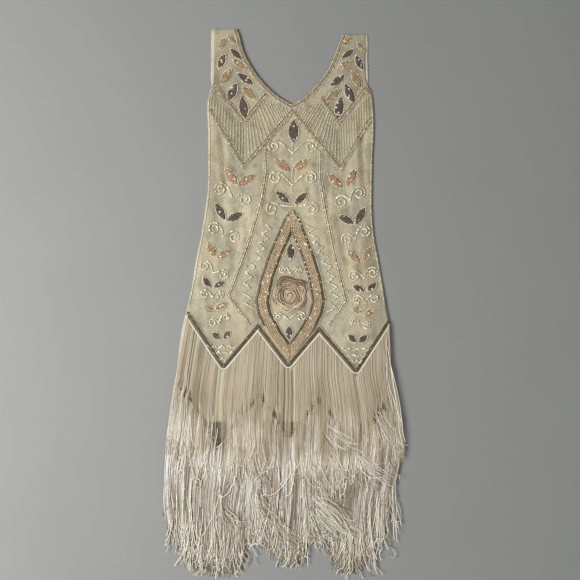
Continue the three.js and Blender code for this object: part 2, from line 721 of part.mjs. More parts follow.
// The origin is on the surface, under the middle of the dress
const middle = new THREE.Box3().setFromObject(dress).getCenter(new THREE.Vector3());
dress.position.set(-middle.x, -middle.y, 0);

export default dress;
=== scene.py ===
"""Flapper dress of beaded net, laid flat on its back: its cloth, beadwork and long fringe.

Places and sizes are millimetres in the dress's own layout, with X to the viewer's right and Y
to the shoulders. They turn into metres, moved to the frame's origin, when a mesh is made.
"""
import logging
import math
from dataclasses import dataclass
from enum import Enum
from typing import Callable, Sequence

import bpy
import numpy as np
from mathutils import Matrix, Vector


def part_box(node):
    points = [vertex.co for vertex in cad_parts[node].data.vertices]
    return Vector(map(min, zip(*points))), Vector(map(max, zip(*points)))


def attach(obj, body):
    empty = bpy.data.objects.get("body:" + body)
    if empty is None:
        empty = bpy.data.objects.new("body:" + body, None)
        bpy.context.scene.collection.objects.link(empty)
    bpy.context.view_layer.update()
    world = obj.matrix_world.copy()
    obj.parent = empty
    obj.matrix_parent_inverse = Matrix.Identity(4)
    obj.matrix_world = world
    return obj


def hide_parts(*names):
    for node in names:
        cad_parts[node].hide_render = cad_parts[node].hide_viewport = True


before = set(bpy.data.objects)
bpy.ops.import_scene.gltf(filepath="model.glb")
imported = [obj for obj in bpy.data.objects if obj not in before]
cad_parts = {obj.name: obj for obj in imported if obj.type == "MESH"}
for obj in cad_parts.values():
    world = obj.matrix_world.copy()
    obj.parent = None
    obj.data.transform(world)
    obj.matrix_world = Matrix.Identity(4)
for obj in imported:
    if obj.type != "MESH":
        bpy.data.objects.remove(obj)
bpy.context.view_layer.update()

log = logging.getLogger("flapper_dress")

MM = 0.001
BODY = "root"
Points = np.ndarray
Numbers = Sequence[float]
Material = bpy.types.Material
Piece = bpy.types.Object


class Table:
    """Rows of named numbers, read at a place along the first column."""

    def __init__(self, names: str, rows: Sequence[Numbers]) -> None:
        """Keep the rows in rising order of the first column.

        Args:
            names: The columns' names, in order.
            rows: One tuple for each row.
        """
        self.names = names.split()
        self.rows = np.array(sorted(rows), dtype=float)

    def column(self, name: str) -> Points:
        """Return one column."""
        return self.rows[:, self.names.index(name)]

    def straight(self, place: Points, name: str) -> Points:
        """Return a column's value, straight between the rows."""
        return np.interp(place, self.rows[:, 0], self.column(name))

    def smooth(self, place: Points, name: str) -> Points:
        """Return a column's value, smooth between the rows.

        Args:
            place: Where to read it, along the first column.
            name: The column.

        Returns:
            The value at each place.
        """
        along, values = self.rows[:, 0], self.column(name)
        last = len(along) - 1
        i = np.clip(np.searchsorted(along, place, side="right") - 1, 0, last - 1)
        before, after = np.maximum(i - 1, 0), np.minimum(i + 2, last)
        span = along[i + 1] - along[i]
        t = np.clip((place - along[i]) / span, 0, 1)
        into = (values[i + 1] - values[before]) / (along[i + 1] - along[before]) * span
        out_of = (values[after] - values[i]) / (along[after] - along[i]) * span
        t2, t3 = t * t, t * t * t
        return ((2 * t3 - 3 * t2 + 1) * values[i] + (t3 - 2 * t2 + t) * into
                + (3 * t2 - 2 * t3) * values[i + 1] + (t3 - t2) * out_of)


# The dress's outline and levels

LEFT_SHOULDER = 634.0
RIGHT_SHOULDER = 622.0
V_POINT_Y = 460.0
HIP = -10.0
FRONT_OUTLINE = Table("y left right", [
    (634, -164, 180), (597, -165, 181), (555, -165, 181), (514, -167, 184), (486, -176, 196),
    (459, -181, 200), (404, -179, 202), (335, -179, 199), (266, -180, 198), (210, -187, 198),
    (155, -196, 203), (100, -207, 213), (45, -216, 222), (-10, -228, 230), (-45, -233, 236),
    (-102, -240, 238), (-178, -250, 239), (-227, -252, 239), (-340, -254, 239),
])
NECKLINE = Table("y left right", [
    (634, -112, 130), (618, -106, 127), (581, -97, 114), (542, -76, 97), (507, -49, 71),
    (478, -17, 43), (460, 14, 14),
])
CENTRE_LINE = Table("y x", [(634, 14), (460, 14), (-138, 5), (-340, 7)])
HIP_ZIGZAG = [(-225, -17), (-143, -141), (-64, -47), (5, -138), (76, -54), (160, -151), (233, -38)]
HEM_ZIGZAG = [(-250, -178), (-159, -325), (-60, -213), (7, -305), (74, -224), (156, -328),
              (239, -226)]
HEM_LINE = Table("x y", HEM_ZIGZAG)
HIP_LINE = Table("x y", HIP_ZIGZAG)
LINING_TOP = -2.0
LINING_HEM = -267.0
LINING_INSET_LEFT = 27.0
LINING_INSET_RIGHT = 22.0


@dataclass(frozen=True)
class Lie:
    """How the layers of cloth lie on each other, as heights over the surface."""

    net_wall: float = 1.2
    lining_wall: float = 1.0
    seam_gap: float = 0.3
    fringe_lift: float = 1.9
    lift_top: float = 55.0
    lift_end: float = 0.0
    swell_top: float = 70.0
    swell_end: float = 15.0
    seam_roll: float = 18.0
    shoulder_roll: float = 45.0
    most_fold: float = 3.4
    crease_depth: float = 2.5
    crown: float = 1.1
    folds: tuple[Numbers, ...] = (
        # top x and y, bottom x and y, half width, rise
        (152, 400, 171, 60, 26, 2.3), (110, 330, 128, 30, 24, 1.5), (-152, 430, -168, 150, 24, 2.2),
        (-118, 300, -150, 20, 26, 1.6), (-52, 410, -60, 120, 30, 1.2), (70, 420, 84, 150, 28, 1.3),
        (-140, 600, -120, 470, 22, 1.4), (152, 590, 140, 470, 22, 1.4), (20, 380, 8, 240, 34, 0.9),
    )
    creases: tuple[Numbers, ...] = (
        (-172, 330, -120, 306, 8, 0.7), (-176, 250, -128, 236, 7, -0.6),
        (-168, 210, -196, 120, 7, 0.8), (-100, 230, -140, 100, 9, -0.8),
        (-62, 300, -58, 200, 7, 0.6), (-20, 345, -34, 262, 9, -0.6),
        (52, 350, 64, 250, 8, 0.6), (100, 300, 92, 214, 7, -0.7),
        (186, 330, 150, 300, 8, 0.7), (196, 215, 168, 120, 9, 0.9),
        (120, 190, 146, 60, 8, -0.8), (-206, 60, -176, -20, 8, 0.7),
        (-120, 40, -104, -60, 9, 0.6), (206, 60, 182, -30, 8, 0.7),
        (116, 20, 128, -80, 9, -0.6), (-150, 500, -140, 430, 7, 0.6),
        (168, 500, 150, 440, 7, -0.6), (-100, 400, -96, 340, 10, -0.7),
        (124, 400, 128, 336, 10, -0.7), (160, 130, 180, 40, 6, -0.9),
        (-160, 405, -150, 262, 6, 0.8), (-146, 390, -134, 250, 5, -0.7),
        (-132, 360, -122, 318, 6, 0.6), (160, 400, 168, 270, 6, 0.9),
        (176, 392, 182, 250, 6, -0.8), (148, 330, 150, 230, 7, 0.7),
        (-96, 180, -112, 60, 7, 0.7), (92, 190, 112, 90, 7, -0.6),
        (-72, 120, -106, 30, 8, -0.6), (-190, 30, -212, -10, 7, 0.7),
        (-24, 300, -50, 200, 8, 0.5), (46, 250, 70, 180, 8, 0.6),
    )

    def back_lift(self, y: Points) -> Points:
        """Return how high the back panel is lifted by the fringe under it."""
        return self.fringe_lift * np.clip((self.lift_top - y) / (self.lift_top - self.lift_end), 0, 1)

    def from_seam(self, x: Points, y: Points) -> Points:
        """Return 0 at a side seam and 1 past the width over which the front comes down."""
        left, right = FRONT_OUTLINE.smooth(y, "left"), FRONT_OUTLINE.smooth(y, "right")
        return np.clip(np.minimum(x - left, right - x) / self.seam_roll, 0, 1)

    def ridges(self, rows: tuple[Numbers, ...], x: Points, y: Points) -> Points:
        """Return the summed height of soft ridges.

        Args:
            rows: For each ridge, its ends, half width and rise.
            x: Places across.
            y: Places along.

        Returns:
            The height at each place.
        """
        rise = np.zeros_like(x)
        for top_x, top_y, low_x, low_y, half, height in rows:
            t = (top_y - y) / (top_y - low_y)
            across = (x - (top_x + (low_x - top_x) * t)) / half
            fade = np.clip(3 * t + 0.6, 0, 1) * np.clip(3 * (1 - t) + 0.6, 0, 1)
            rise = rise + height * fade * np.exp(-across * across)
        return rise

    def front_bottom(self, x: Points, y: Points) -> Points:
        """Return the height of the front panel's underside.

        Args:
            x: Places across.
            y: Places along.

        Returns:
            The height at each place.
        """
        inside = self.from_seam(x, y)
        rise = np.minimum(self.crown + self.ridges(self.folds, x, y), self.most_fold)
        rise = rise + self.crease_depth * self.ridges(self.creases, x, y)
        rise = np.maximum(rise, 0) * inside * np.clip((LEFT_SHOULDER - y) / self.shoulder_roll, 0, 1)
        rise = rise * np.clip((y - self.swell_end) / (self.swell_top - self.swell_end), 0, 1)
        lining = 2 * (self.lining_wall + self.seam_gap)
        swell = lining * np.clip((self.swell_top - y) / (self.swell_top - self.swell_end), 0, 1)
        return self.back_lift(y) + self.net_wall + self.seam_gap + swell * inside + rise

    def front_top(self, x: Points, y: Points) -> Points:
        """Return the height of the front panel's face."""
        return self.front_bottom(x, y) + self.net_wall


LIE = Lie()

# Heights over the front panel, and what every bead, cord and thread shares

ON_NET = 0.5
ON_TAPE = 1.2
CUP_SIDES = 7
CUP_TOP = 0.26
CORD_SIDES = 6
CORD_SEED = 5
THREAD_SIDES = 3
DRIFT_SCALE = 17.0
DRIFT_APART = 40.0
HOOK_FROM = 0.8
HOOK_TURN = 9.0


def soft_spots(rows: tuple[Numbers, ...], x: Points, y: Points) -> Points:
    """Return the summed strength of soft oval patches at places.

    Args:
        rows: For each patch, its middle, half width, half height and strength.
        x: Places across.
        y: Places along.

    Returns:
        The strength at each place.
    """
    total = np.zeros_like(x)
    for mx, my, half_x, half_y, strength in rows:
        total = total + strength * np.exp(-((x - mx) / half_x) ** 2 - ((y - my) / half_y) ** 2)
    return total


# Paths in the layout's plane

def corners(points: Sequence[Numbers], step: float = 6.0) -> Points:
    """Return a path straight between corners.

    Args:
        points: The corners.
        step: The longest distance between two points of the path.

    Returns:
        The path's points, one row each.
    """
    places = np.array(points, dtype=float)
    runs = []
    for a, b in zip(places[:-1], places[1:]):
        count = max(1, int(math.ceil(np.linalg.norm(b - a) / step)))
        runs.append(a + (b - a) * np.linspace(0, 1, count, endpoint=False)[:, None])
    return np.vstack([*runs, places[-1:]])


def curve(points: Sequence[Numbers], step: float = 6.0) -> Points:
    """Return a path that runs smoothly through points.

    Args:
        points: The points that it passes.
        step: The longest distance between two points of the path.

    Returns:
        The path's points, one row each.
    """
    places = np.array(points, dtype=float)
    ends = np.vstack([2 * places[0] - places[1], places, 2 * places[-1] - places[-2]])
    runs = []
    for p0, p1, p2, p3 in zip(ends[:-3], ends[1:-2], ends[2:-1], ends[3:]):
        count = max(2, int(math.ceil(np.linalg.norm(p2 - p1) / step)))
        t = np.linspace(0, 1, count, endpoint=False)[:, None]
        runs.append(0.5 * (2 * p1 + (p2 - p0) * t + (2 * p0 - 5 * p1 + 4 * p2 - p3) * t ** 2
                           + (3 * p1 - p0 - 3 * p2 + p3) * t ** 3))
    return np.vstack([*runs, places[-1:]])


def rounded(path: Points, reach: int) -> Points:
    """Return a path with rounded corners.

    Args:
        path: The path, with its points an even step apart.
        reach: How many points to each side are averaged.

    Returns:
        The path's points.
    """
    window = np.ones(2 * reach + 1) / (2 * reach + 1)
    ends = np.vstack([np.repeat(path[:1], reach, 0), path, np.repeat(path[-1:], reach, 0)])
    return np.stack([np.convolve(ends[:, k], window, "valid") for k in (0, 1)], axis=1)


def beside(path: Points, distance: float) -> Points:
    """Return a path moved sideways, with mitred corners.

    Args:
        path: The path.
        distance: How far it is moved, to the left of its direction.

    Returns:
        The path's points, as many as before.
    """
    steps = np.diff(path, axis=0)
    normals = np.stack([-steps[:, 1], steps[:, 0]], axis=1)
    normals /= np.linalg.norm(normals, axis=1)[:, None]
    before = np.vstack([normals[:1], normals])
    after = np.vstack([normals, normals[-1:]])
    mitre = before + after
    mitre /= np.linalg.norm(mitre, axis=1)[:, None]
    reach = distance / np.maximum((mitre * after).sum(axis=1), 0.3)
    return path + mitre * reach[:, None]


def on_front(path: Points, lift: float) -> Points:
    """Return a plane path laid on the front panel, lifted off it by a height."""
    z = LIE.front_top(path[:, 0], path[:, 1]) + lift
    return np.column_stack([path, z])


# Node trees

def maths(operation: str, reflected: bool = False) -> Callable[..., "Wire"]:
    """Return a method of Wire that adds one Math node.

    Args:
        operation: The node's operation.
        reflected: Whether the wire comes second.

    Returns:
        The method, which takes the other value.
    """
    def method(self: "Wire", other: object = 0.0) -> "Wire":
        """Return the result for this wire and another value."""
        first, second = (other, self) if reflected else (self, other)
        return self.graph.node("ShaderNodeMath", {"operation": operation}, {0: first, 1: second})

    return method


class Wire:
    """One output of a node, with maths written as expressions."""

    __add__ = __radd__ = maths("ADD")
    __mul__ = __rmul__ = maths("MULTIPLY")
    __sub__, __rsub__ = maths("SUBTRACT"), maths("SUBTRACT", reflected=True)
    __truediv__, __rtruediv__ = maths("DIVIDE"), maths("DIVIDE", reflected=True)
    at_least, at_most = maths("MAXIMUM"), maths("MINIMUM")
    sine, cosine = maths("SINE"), maths("COSINE")

    def __init__(self, graph: "Graph", socket: bpy.types.NodeSocket) -> None:
        """Keep the socket and the graph that it belongs to."""
        self.graph = graph
        self.socket = socket

    def output(self, key: int | str) -> "Wire":
        """Return another output of the same node."""
        return Wire(self.graph, self.socket.node.outputs[key])

    def clamp(self) -> "Wire":
        """Return the value held between 0 and 1."""
        return self.at_least(0.0).at_most(1.0)

    def above(self, edge: float, width: float) -> "Wire":
        """Return 0 below an edge and 1 above it, over a width. A width below 0 turns it round."""
        return ((self - edge) / width + 0.5).clamp()


class Graph:
    """Adds nodes to a tree, each with its settings first and then its sockets."""

    def __init__(self, tree: bpy.types.NodeTree) -> None:
        """Keep the tree."""
        self.tree = tree

    def node(self, kind: str, settings: dict[str, object] | None = None,
             inputs: dict[int | str, object] | None = None) -> Wire:
        """Add a node.

        Args:
            kind: The node's type.
            settings: Its properties by name. stops gives a ramp's places and colours.
            inputs: Values or wires by socket name or number.

        Returns:
            The node's first output.
        """
        made = self.tree.nodes.new(kind)
        for name, value in (settings or {}).items():
            if name == "stops":
                self._stops(made, value)
            else:
                setattr(made, name, value)
        for key, value in (inputs or {}).items():
            if isinstance(value, Wire):
                self.tree.links.new(value.socket, made.inputs[key])
            else:
                made.inputs[key].default_value = value
        return Wire(self, made.outputs[0])

    @staticmethod
    def _stops(made: bpy.types.Node, stops: Sequence[tuple[float, Numbers]]) -> None:
        """Set a colour ramp's stops.

        Args:
            made: The ramp's node.
            stops: The place and the colour of each stop, in rising order.
        """
        elements = made.color_ramp.elements
        while len(elements) > 1:
            elements.remove(elements[-1])
        elements[0].position, elements[0].color = stops[0][0], (*stops[0][1], 1)
        for place, colour in stops[1:]:
            elements.new(place).color = (*colour, 1)


class Shape(Graph):
    """A Geometry Nodes tree with named inputs that shapes one object."""

    def __init__(self, name: str) -> None:
        """Start a tree with a geometry input and output.

        Args:
            name: The tree's name.
        """
        super().__init__(bpy.data.node_groups.new(name, "GeometryNodeTree"))
        for way in ("INPUT", "OUTPUT"):
            self.tree.interface.new_socket("Geometry", in_out=way, socket_type="NodeSocketGeometry")
        self.group_in = self.tree.nodes.new("NodeGroupInput")
        self.group_out = self.tree.nodes.new("NodeGroupOutput")
        self.identifiers: dict[str, str] = {}

    def size(self, name: str, kind: str = "Float") -> Wire:
        """Add a named input.

        Args:
            name: The input's name.
            kind: What it holds, as Blender names the socket.

        Returns:
            The input's wire.
        """
        item = self.tree.interface.new_socket(name, in_out="INPUT", socket_type=f"NodeSocket{kind}")
        self.identifiers[name] = item.identifier
        return Wire(self, self.group_in.outputs[name])

    def curves(self) -> Wire:
        """Return the loose paths of the object's mesh as curves."""
        own = Wire(self, self.group_in.outputs["Geometry"])
        return self.node("GeometryNodeMeshToCurve", {}, {"Mesh": own})

    def spaced(self, curves: Wire, pitch: Wire) -> Wire:
        """Return curves with their points a pitch apart."""
        return self.node("GeometryNodeResampleCurve", {"mode": "LENGTH"}, {"Curve": curves, "Length": pitch})

    def vector(self, x: object, y: object, z: object) -> Wire:
        """Return a vector of three numbers."""
        return self.node("ShaderNodeCombineXYZ", {}, {0: x, 1: y, 2: z})

    def scaled(self, vector: Wire, factor: object) -> Wire:
        """Return a vector made longer or shorter by a factor."""
        return self.node("ShaderNodeVectorMath", {"operation": "SCALE"}, {0: vector, "Scale": factor})

    def chance(self, low: object, high: object, seed: object, vector: bool = False) -> Wire:
        """Return a random value for each element.

        Args:
            low: The least value.
            high: The greatest value.
            seed: Fixes what is random.
            vector: Whether the value is a vector.

        Returns:
            The value's wire.
        """
        kind, first, out = ("FLOAT_VECTOR", 0, 0) if vector else ("FLOAT", 2, 1)
        inputs = {first: low, first + 1: high, 8: seed}
        return self.node("FunctionNodeRandomValue", {"data_type": kind}, inputs).output(out)

    def store(self, geometry: Wire, name: str, value: Wire, domain: str) -> Wire:
        """Return a geometry with a named number stored on its elements of one kind."""
        return self.node("GeometryNodeStoreNamedAttribute", {"data_type": "FLOAT", "domain": domain},
                         {"Geometry": geometry, "Name": name, "Value": value})

    def stored(self, name: str) -> Wire:
        """Return a stored number."""
        return self.node("GeometryNodeInputNamedAttribute", {"data_type": "FLOAT"}, {"Name": name})

    def tube(self, path: Wire, radius: Wire, sides: int) -> Wire:
        """Return closed tubes along curves.

        Args:
            path: The curves.
            radius: The tubes' radius.
            sides: How many sides they have all round.

        Returns:
            The tubes' mesh.
        """
        ring = self.node("GeometryNodeCurvePrimitiveCircle", {}, {"Resolution": sides, "Radius": radius})
        inputs = {"Curve": path, "Profile Curve": ring, "Fill Caps": True}
        return self.node("GeometryNodeCurveToMesh", {}, inputs)

    def close(self, geometry: Wire) -> "Shape":
        """End the tree: realize the instances, shade them smooth and set the material.

        Args:
            geometry: What the tree has made.

        Returns:
            This tree, with one more input, the material.
        """
        real = self.node("GeometryNodeRealizeInstances", {}, {"Geometry": geometry})
        smooth = self.node("GeometryNodeSetShadeSmooth", {}, {"Geometry": real})
        dressed = self.node("GeometryNodeSetMaterial", {}, {
            "Geometry": smooth, "Material": self.size("Material", "Material")})
        self.tree.links.new(dressed.socket, self.group_out.inputs[0])
        return self

    def apply(self, piece: Piece, sizes: dict[str, object]) -> Piece:
        """Run the tree on an object and keep the result as its plain mesh.

        Args:
            piece: The object whose mesh the tree starts from.
            sizes: The values of the named inputs.

        Returns:
            The same object, with its new mesh and no modifier.
        """
        modifier = piece.modifiers.new(self.tree.name, "NODES")
        modifier.node_group = self.tree
        for name, value in sizes.items():
            modifier[self.identifiers[name]] = value
        return keep_shape(piece)


def keep_shape(piece: Piece) -> Piece:
    """Turn an object's modifiers into its plain mesh.

    Args:
        piece: The object.

    Returns:
        The same object, with no modifier.
    """
    bpy.context.view_layer.update()
    ready = piece.evaluated_get(bpy.context.evaluated_depsgraph_get())
    made = bpy.data.meshes.new_from_object(ready)
    old = piece.data
    piece.modifiers.clear()
    piece.data = made
    bpy.data.meshes.remove(old)
    made.name = piece.name
    return piece


class Bead(Enum):
    """The two shapes that are sewn on in rows."""

    ROUND = "round bead"
    CUP = "cupped sequin"


def row_shape(bead: Bead) -> Shape:
    """Return the tree that sews beads or sequins along every path of a mesh.

    Args:
        bead: What is sewn on.

    Returns:
        The tree, with inputs for pitch, width, height, tilt, seed, unevenness and material.
    """
    shape = Shape(f"rows of {bead.value}s")
    pitch, width, height = shape.size("Pitch"), shape.size("Width"), shape.size("Height")
    tilt, seed, uneven = shape.size("Tilt"), shape.size("Seed", "Int"), shape.size("Uneven")
    if bead is Bead.ROUND:
        one = shape.node("GeometryNodeMeshIcoSphere", {}, {"Radius": 0.5, "Subdivisions": 1})
    else:
        one = shape.node("GeometryNodeMeshCone", {"fill_type": "NGON"}, {
            "Vertices": CUP_SIDES, "Radius Top": CUP_TOP, "Radius Bottom": 0.5, "Depth": 1.0})
    lean = shape.vector(tilt, tilt, math.pi)
    turn = shape.chance(shape.scaled(lean, -1.0), lean, seed, vector=True)
    grown = shape.scaled(shape.vector(width, width, height), shape.chance(1.0 - uneven, 1.0 + uneven, seed))
    sewn = shape.node("GeometryNodeInstanceOnPoints", {}, {
        "Points": shape.spaced(shape.curves(), pitch), "Instance": one, "Rotation": turn, "Scale": grown})
    return shape.close(shape.store(sewn, "tone", shape.chance(0.0, 1.0, seed), "INSTANCE"))


def cord_shape() -> Shape:
    """Return the tree that turns every path of a mesh into a round cord.

    Returns:
        The tree, with inputs for radius, pitch and material.
    """
    shape = Shape("cords along paths")
    radius, pitch = shape.size("Radius"), shape.size("Pitch")
    even = shape.spaced(shape.curves(), pitch)
    toned = shape.store(even, "tone", shape.chance(0.0, 1.0, CORD_SEED), "CURVE")
    return shape.close(shape.tube(toned, radius, CORD_SIDES))


def thread_shape() -> Shape:
    """Return the tree that fills each guide path with fine fringe threads.

    Every guide is copied for its threads, which spread over the lock's width, wander more
    towards their ends, hook over there and are cut uneven.

    Returns:
        The tree, with inputs for the lock, the threads, the seed and the material.
    """
    shape = Shape("threads of a lock")
    count, seed = shape.size("Threads", "Int"), shape.size("Seed", "Int")
    width, depth, thick = shape.size("Lock Width"), shape.size("Lock Depth"), shape.size("Thread Width")
    wave, hook, uneven = shape.size("Wave"), shape.size("Hook"), shape.size("Uneven")
    splay = shape.size("Splay")
    copied = shape.node("GeometryNodeDuplicateElements", {"domain": "SPLINE"}, {
        "Geometry": shape.curves(), "Amount": count})
    for offset, name in enumerate(("across", "layer", "thread")):
        copied = shape.store(copied, name, shape.chance(0.0, 1.0, seed + offset), "CURVE")
    along = shape.node("GeometryNodeSplineParameter").output("Factor")
    copied = shape.store(copied, "along", along, "POINT")
    across, layer, thread = shape.stored("across"), shape.stored("layer"), shape.stored("thread")
    noise = shape.node("ShaderNodeTexNoise", {"noise_dimensions": "4D"}, {
        "Vector": shape.node("GeometryNodeInputPosition"), "W": thread * DRIFT_APART + 1.0,
        "Scale": DRIFT_SCALE, "Detail": 1.0}).output("Color")
    drift = shape.node("ShaderNodeSeparateXYZ", {}, {0: noise})
    loose = along * along * wave * 2.0
    end = ((along - HOOK_FROM) / (1.0 - HOOK_FROM)).clamp()
    angle = end * (thread - 0.5) * HOOK_TURN
    side = (across - 0.5) * width * (1.0 + (splay - 1.0) * along)
    dx = side + (drift - 0.5) * loose + angle.sine() * end * hook
    dy = (drift.output(1) - 0.5) * loose + (1.0 - angle.cosine()) * end * hook
    moved = shape.node("GeometryNodeSetPosition", {}, {
        "Geometry": copied, "Offset": shape.vector(dx, dy, layer * depth)})
    cut = shape.node("GeometryNodeTrimCurve", {"mode": "FACTOR"}, {
        0: moved, 3: shape.chance(1.0 - uneven, 1.0, seed + 3)})
    return shape.close(shape.tube(cut, thick * 0.5, THREAD_SIDES))


# Finishes

class Paint(Graph):
    """A material under way, whose maths is written as expressions."""

    def __init__(self, name: str) -> None:
        """Start a material with an empty tree.

        Args:
            name: The material's name.
        """
        self.material = bpy.data.materials.new(name)
        self.material.use_nodes = True
        super().__init__(self.material.node_tree)
        self.tree.nodes.clear()

    def place(self) -> Wire:
        """Return the point on the object, in metres."""
        return self.node("ShaderNodeTexCoord").output("Object")

    def axis(self, name: str) -> Wire:
        """Return one coordinate of the point on the object."""
        return self.node("ShaderNodeSeparateXYZ", {}, {0: self.place()}).output(name)

    def noise(self, scale: float, detail: float = 2.0, stretch: Numbers = (1, 1, 1)) -> Wire:
        """Return a noise from 0 to 1, by its grains in a metre, its finer layers and each axis's scale."""
        moved = self.node("ShaderNodeMapping", {}, {"Vector": self.place(), "Scale": stretch})
        return self.node("ShaderNodeTexNoise", {}, {"Vector": moved, "Scale": scale, "Detail": detail})

    def weave(self, pitch: float) -> Wire:
        """Return crossing threads with a pitch in millimetres."""
        turns = math.tau / (pitch * MM)
        return (self.axis("X") * turns).sine() * (self.axis("Y") * turns).sine() * 0.5 + 0.5

    def attribute(self, name: str) -> Wire:
        """Return a number stored on the mesh."""
        return self.node("ShaderNodeAttribute", {"attribute_name": name}).output("Fac")

    def ramp(self, value: Wire, stops: Sequence[tuple[float, Numbers]]) -> Wire:
        """Return a colour for a value, from a ramp's stops."""
        return self.node("ShaderNodeValToRGB", {"stops": stops}, {0: value})

    def blend(self, share: Wire, one: Wire | Numbers, two: Wire | Numbers) -> Wire:
        """Return a mix of two colours, with a share of the second."""
        first, second = (colour if isinstance(colour, Wire) else (*colour, 1) for colour in (one, two))
        return self.node("ShaderNodeMix", {"data_type": "RGBA"}, {0: share, 6: first, 7: second}).output(2)

    def bump(self, height: Wire, depth: float) -> Wire:
        """Return a normal raised by a height, with its depth in millimetres."""
        return self.node("ShaderNodeBump", {}, {"Strength": 1.0, "Distance": depth * MM, "Height": height})

    def finish(self, inputs: dict[str, object]) -> Material:
        """Close the material with one surface shader.

        Args:
            inputs: The shader's values and wires by socket name.

        Returns:
            The material.
        """
        surface = self.node("ShaderNodeBsdfPrincipled", {}, inputs)
        out = self.tree.nodes.new("ShaderNodeOutputMaterial")
        self.tree.links.new(surface.socket, out.inputs["Surface"])
        return self.material


@dataclass(frozen=True)
class Mark:
    """Soft marks over cloth: where a noise lies above an edge, the cloth takes a tint."""

    scale: float
    detail: float
    stretch: Numbers
    edge: float
    width: float
    share: float = 1.0

    def over(self, paint: Paint, base: Wire | Numbers, tint: Numbers) -> Wire:
        """Return a colour with the marks laid over it in a tint."""
        mark = paint.noise(self.scale, self.detail, self.stretch).above(self.edge, self.width)
        return paint.blend(mark * self.share, base, tint)


@dataclass(frozen=True)
class NetFinish:
    """Cream stretch net over a pale lining, see-through on the skirt, with painted shade and painted light in
    its colour.
    """

    name: str = "cream_net"
    light: Numbers = (0.5, 0.438, 0.292)
    # tint of painted shade, and also of the stains and grain
    shade: Numbers = (0.185, 0.148, 0.095)
    cool: Numbers = (0.445, 0.418, 0.307)
    skirt: Numbers = (0.62, 0.59, 0.42)
    # tint of painted light
    pale: Numbers = (0.64, 0.58, 0.42)
    # painted shade: the net's colour where no lining lies behind it
    unlined_shade: Numbers = (0.19, 0.155, 0.11)
    skirt_alpha: float = 0.16
    skirt_tint: float = 0.85
    bare_edge: float = LINING_HEM * MM
    bare_alpha: float = 0.55
    patches: Mark = Mark(13, 3, (1, 0.6, 1), 0.5, 0.12)
    # darkenings towards the shade tint: mottled darker patches, painted shade of soft folds, painted shade of
    # long vertical fold lines, small stains, and the net's fine grain
    shade_stains_and_grain: tuple[Mark, ...] = (
        Mark(34, 3, (1, 0.8, 1), 0.56, 0.14, 0.4), Mark(11, 1, (1, 0.35, 1), 0.45, -0.25, 0.3),
        Mark(26, 2, (1.6, 0.22, 1), 0.56, 0.1, 0.28), Mark(70, 2, (1, 0.7, 1), 0.64, 0.08, 0.4),
        Mark(420, 2, (1, 1, 1), 0.58, 0.2, 0.45),
    )

    def material(self) -> Material:
        """Make the net's material.

        Returns:
            The material, which reads the numbers skirt and shading on the mesh.
        """
        paint = Paint(self.name)
        base = self.patches.over(paint, self.light, self.cool)
        for darkening in self.shade_stains_and_grain:
            base = darkening.over(paint, base, self.shade)
        # the shading number is painted shade above 0 and painted light below 0, in the pale tint; below the
        # lining's hem the net is painted darker as shade
        painted_shading, skirt = paint.attribute("shading"), paint.attribute("skirt")
        unlined = 1.0 - paint.axis("Y").above(self.bare_edge, 2 * MM)
        for share, tint in ((painted_shading.clamp(), self.shade), ((painted_shading * -1.0).clamp(), self.pale),
                            (skirt * self.skirt_tint, self.skirt), (unlined, self.unlined_shade)):
            base = paint.blend(share, base, tint)
        drape = paint.noise(11, 1, (1, 0.35, 1)) * 9.0
        height = paint.weave(1.6) * 0.25 + paint.noise(420, 2) * 0.6 + paint.noise(110, 2) + drape
        alpha = (1.0 - skirt * (1 - self.skirt_alpha) + unlined * self.bare_alpha).clamp()
        return paint.finish({
            "Base Color": base, "Roughness": 0.72, "Normal": paint.bump(height, 0.9), "Alpha": alpha,
            "Sheen Weight": 0.25, "Sheen Roughness": 0.5, "Specular IOR Level": 0.25})


@dataclass(frozen=True)
class LiningFinish:
    """Pale yellow-green woven lining."""

    name: str = "pale_lining"
    light: Numbers = (0.62, 0.595, 0.41)
    shade: Numbers = (0.52, 0.49, 0.33)
    patches: Mark = Mark(22, 2, (1, 1, 1), 0.5, 0.4)

    def material(self) -> Material:
        """Make the lining's material.

        Returns:
            The material.
        """
        paint = Paint(self.name)
        base = self.patches.over(paint, self.light, self.shade)
        normal = paint.bump(paint.weave(0.9) * 0.3 + paint.noise(40, 2), 0.5)
        return paint.finish({"Base Color": base, "Roughness": 0.55, "Normal": normal, "Sheen Weight": 0.2})


@dataclass(frozen=True)
class BeadFinish:
    """Glossy beads, sequins or cord, each piece a little lighter or darker than the next, and a few with a
    painted glint.
    """

    name: str
    dark: Numbers
    middle: Numbers
    bright: Numbers
    roughness: float = 0.3
    metal: float = 0.0
    coat: float = 0.3

    def material(self) -> Material:
        """Make the beads' material.

        Returns:
            The material, which reads the number tone on the mesh.
        """
        paint = Paint(self.name)
        tone = paint.attribute("tone")
        # the few pieces at the top of the ramp take the bright colour as a painted glint
        stops = [(0.0, self.dark), (0.5, self.middle), (0.94, self.middle), (0.975, self.bright)]
        return paint.finish({
            "Base Color": paint.ramp(tone, stops), "Roughness": self.roughness + (tone - 0.5) * 0.15,
            "Metallic": self.metal, "Coat Weight": self.coat, "Coat Roughness": 0.2})


@dataclass(frozen=True)
class TapeFinish:
    """Woven tape under the rows of beads."""

    name: str
    light: Numbers
    shade: Numbers

    def material(self) -> Material:
        """Make the tape's material.

        Returns:
            The material.
        """
        paint = Paint(self.name)
        base = paint.blend(paint.noise(300, 2), self.light, self.shade)
        normal = paint.bump(paint.weave(1.2), 0.3)
        return paint.finish({"Base Color": base, "Roughness": 0.6, "Normal": normal})


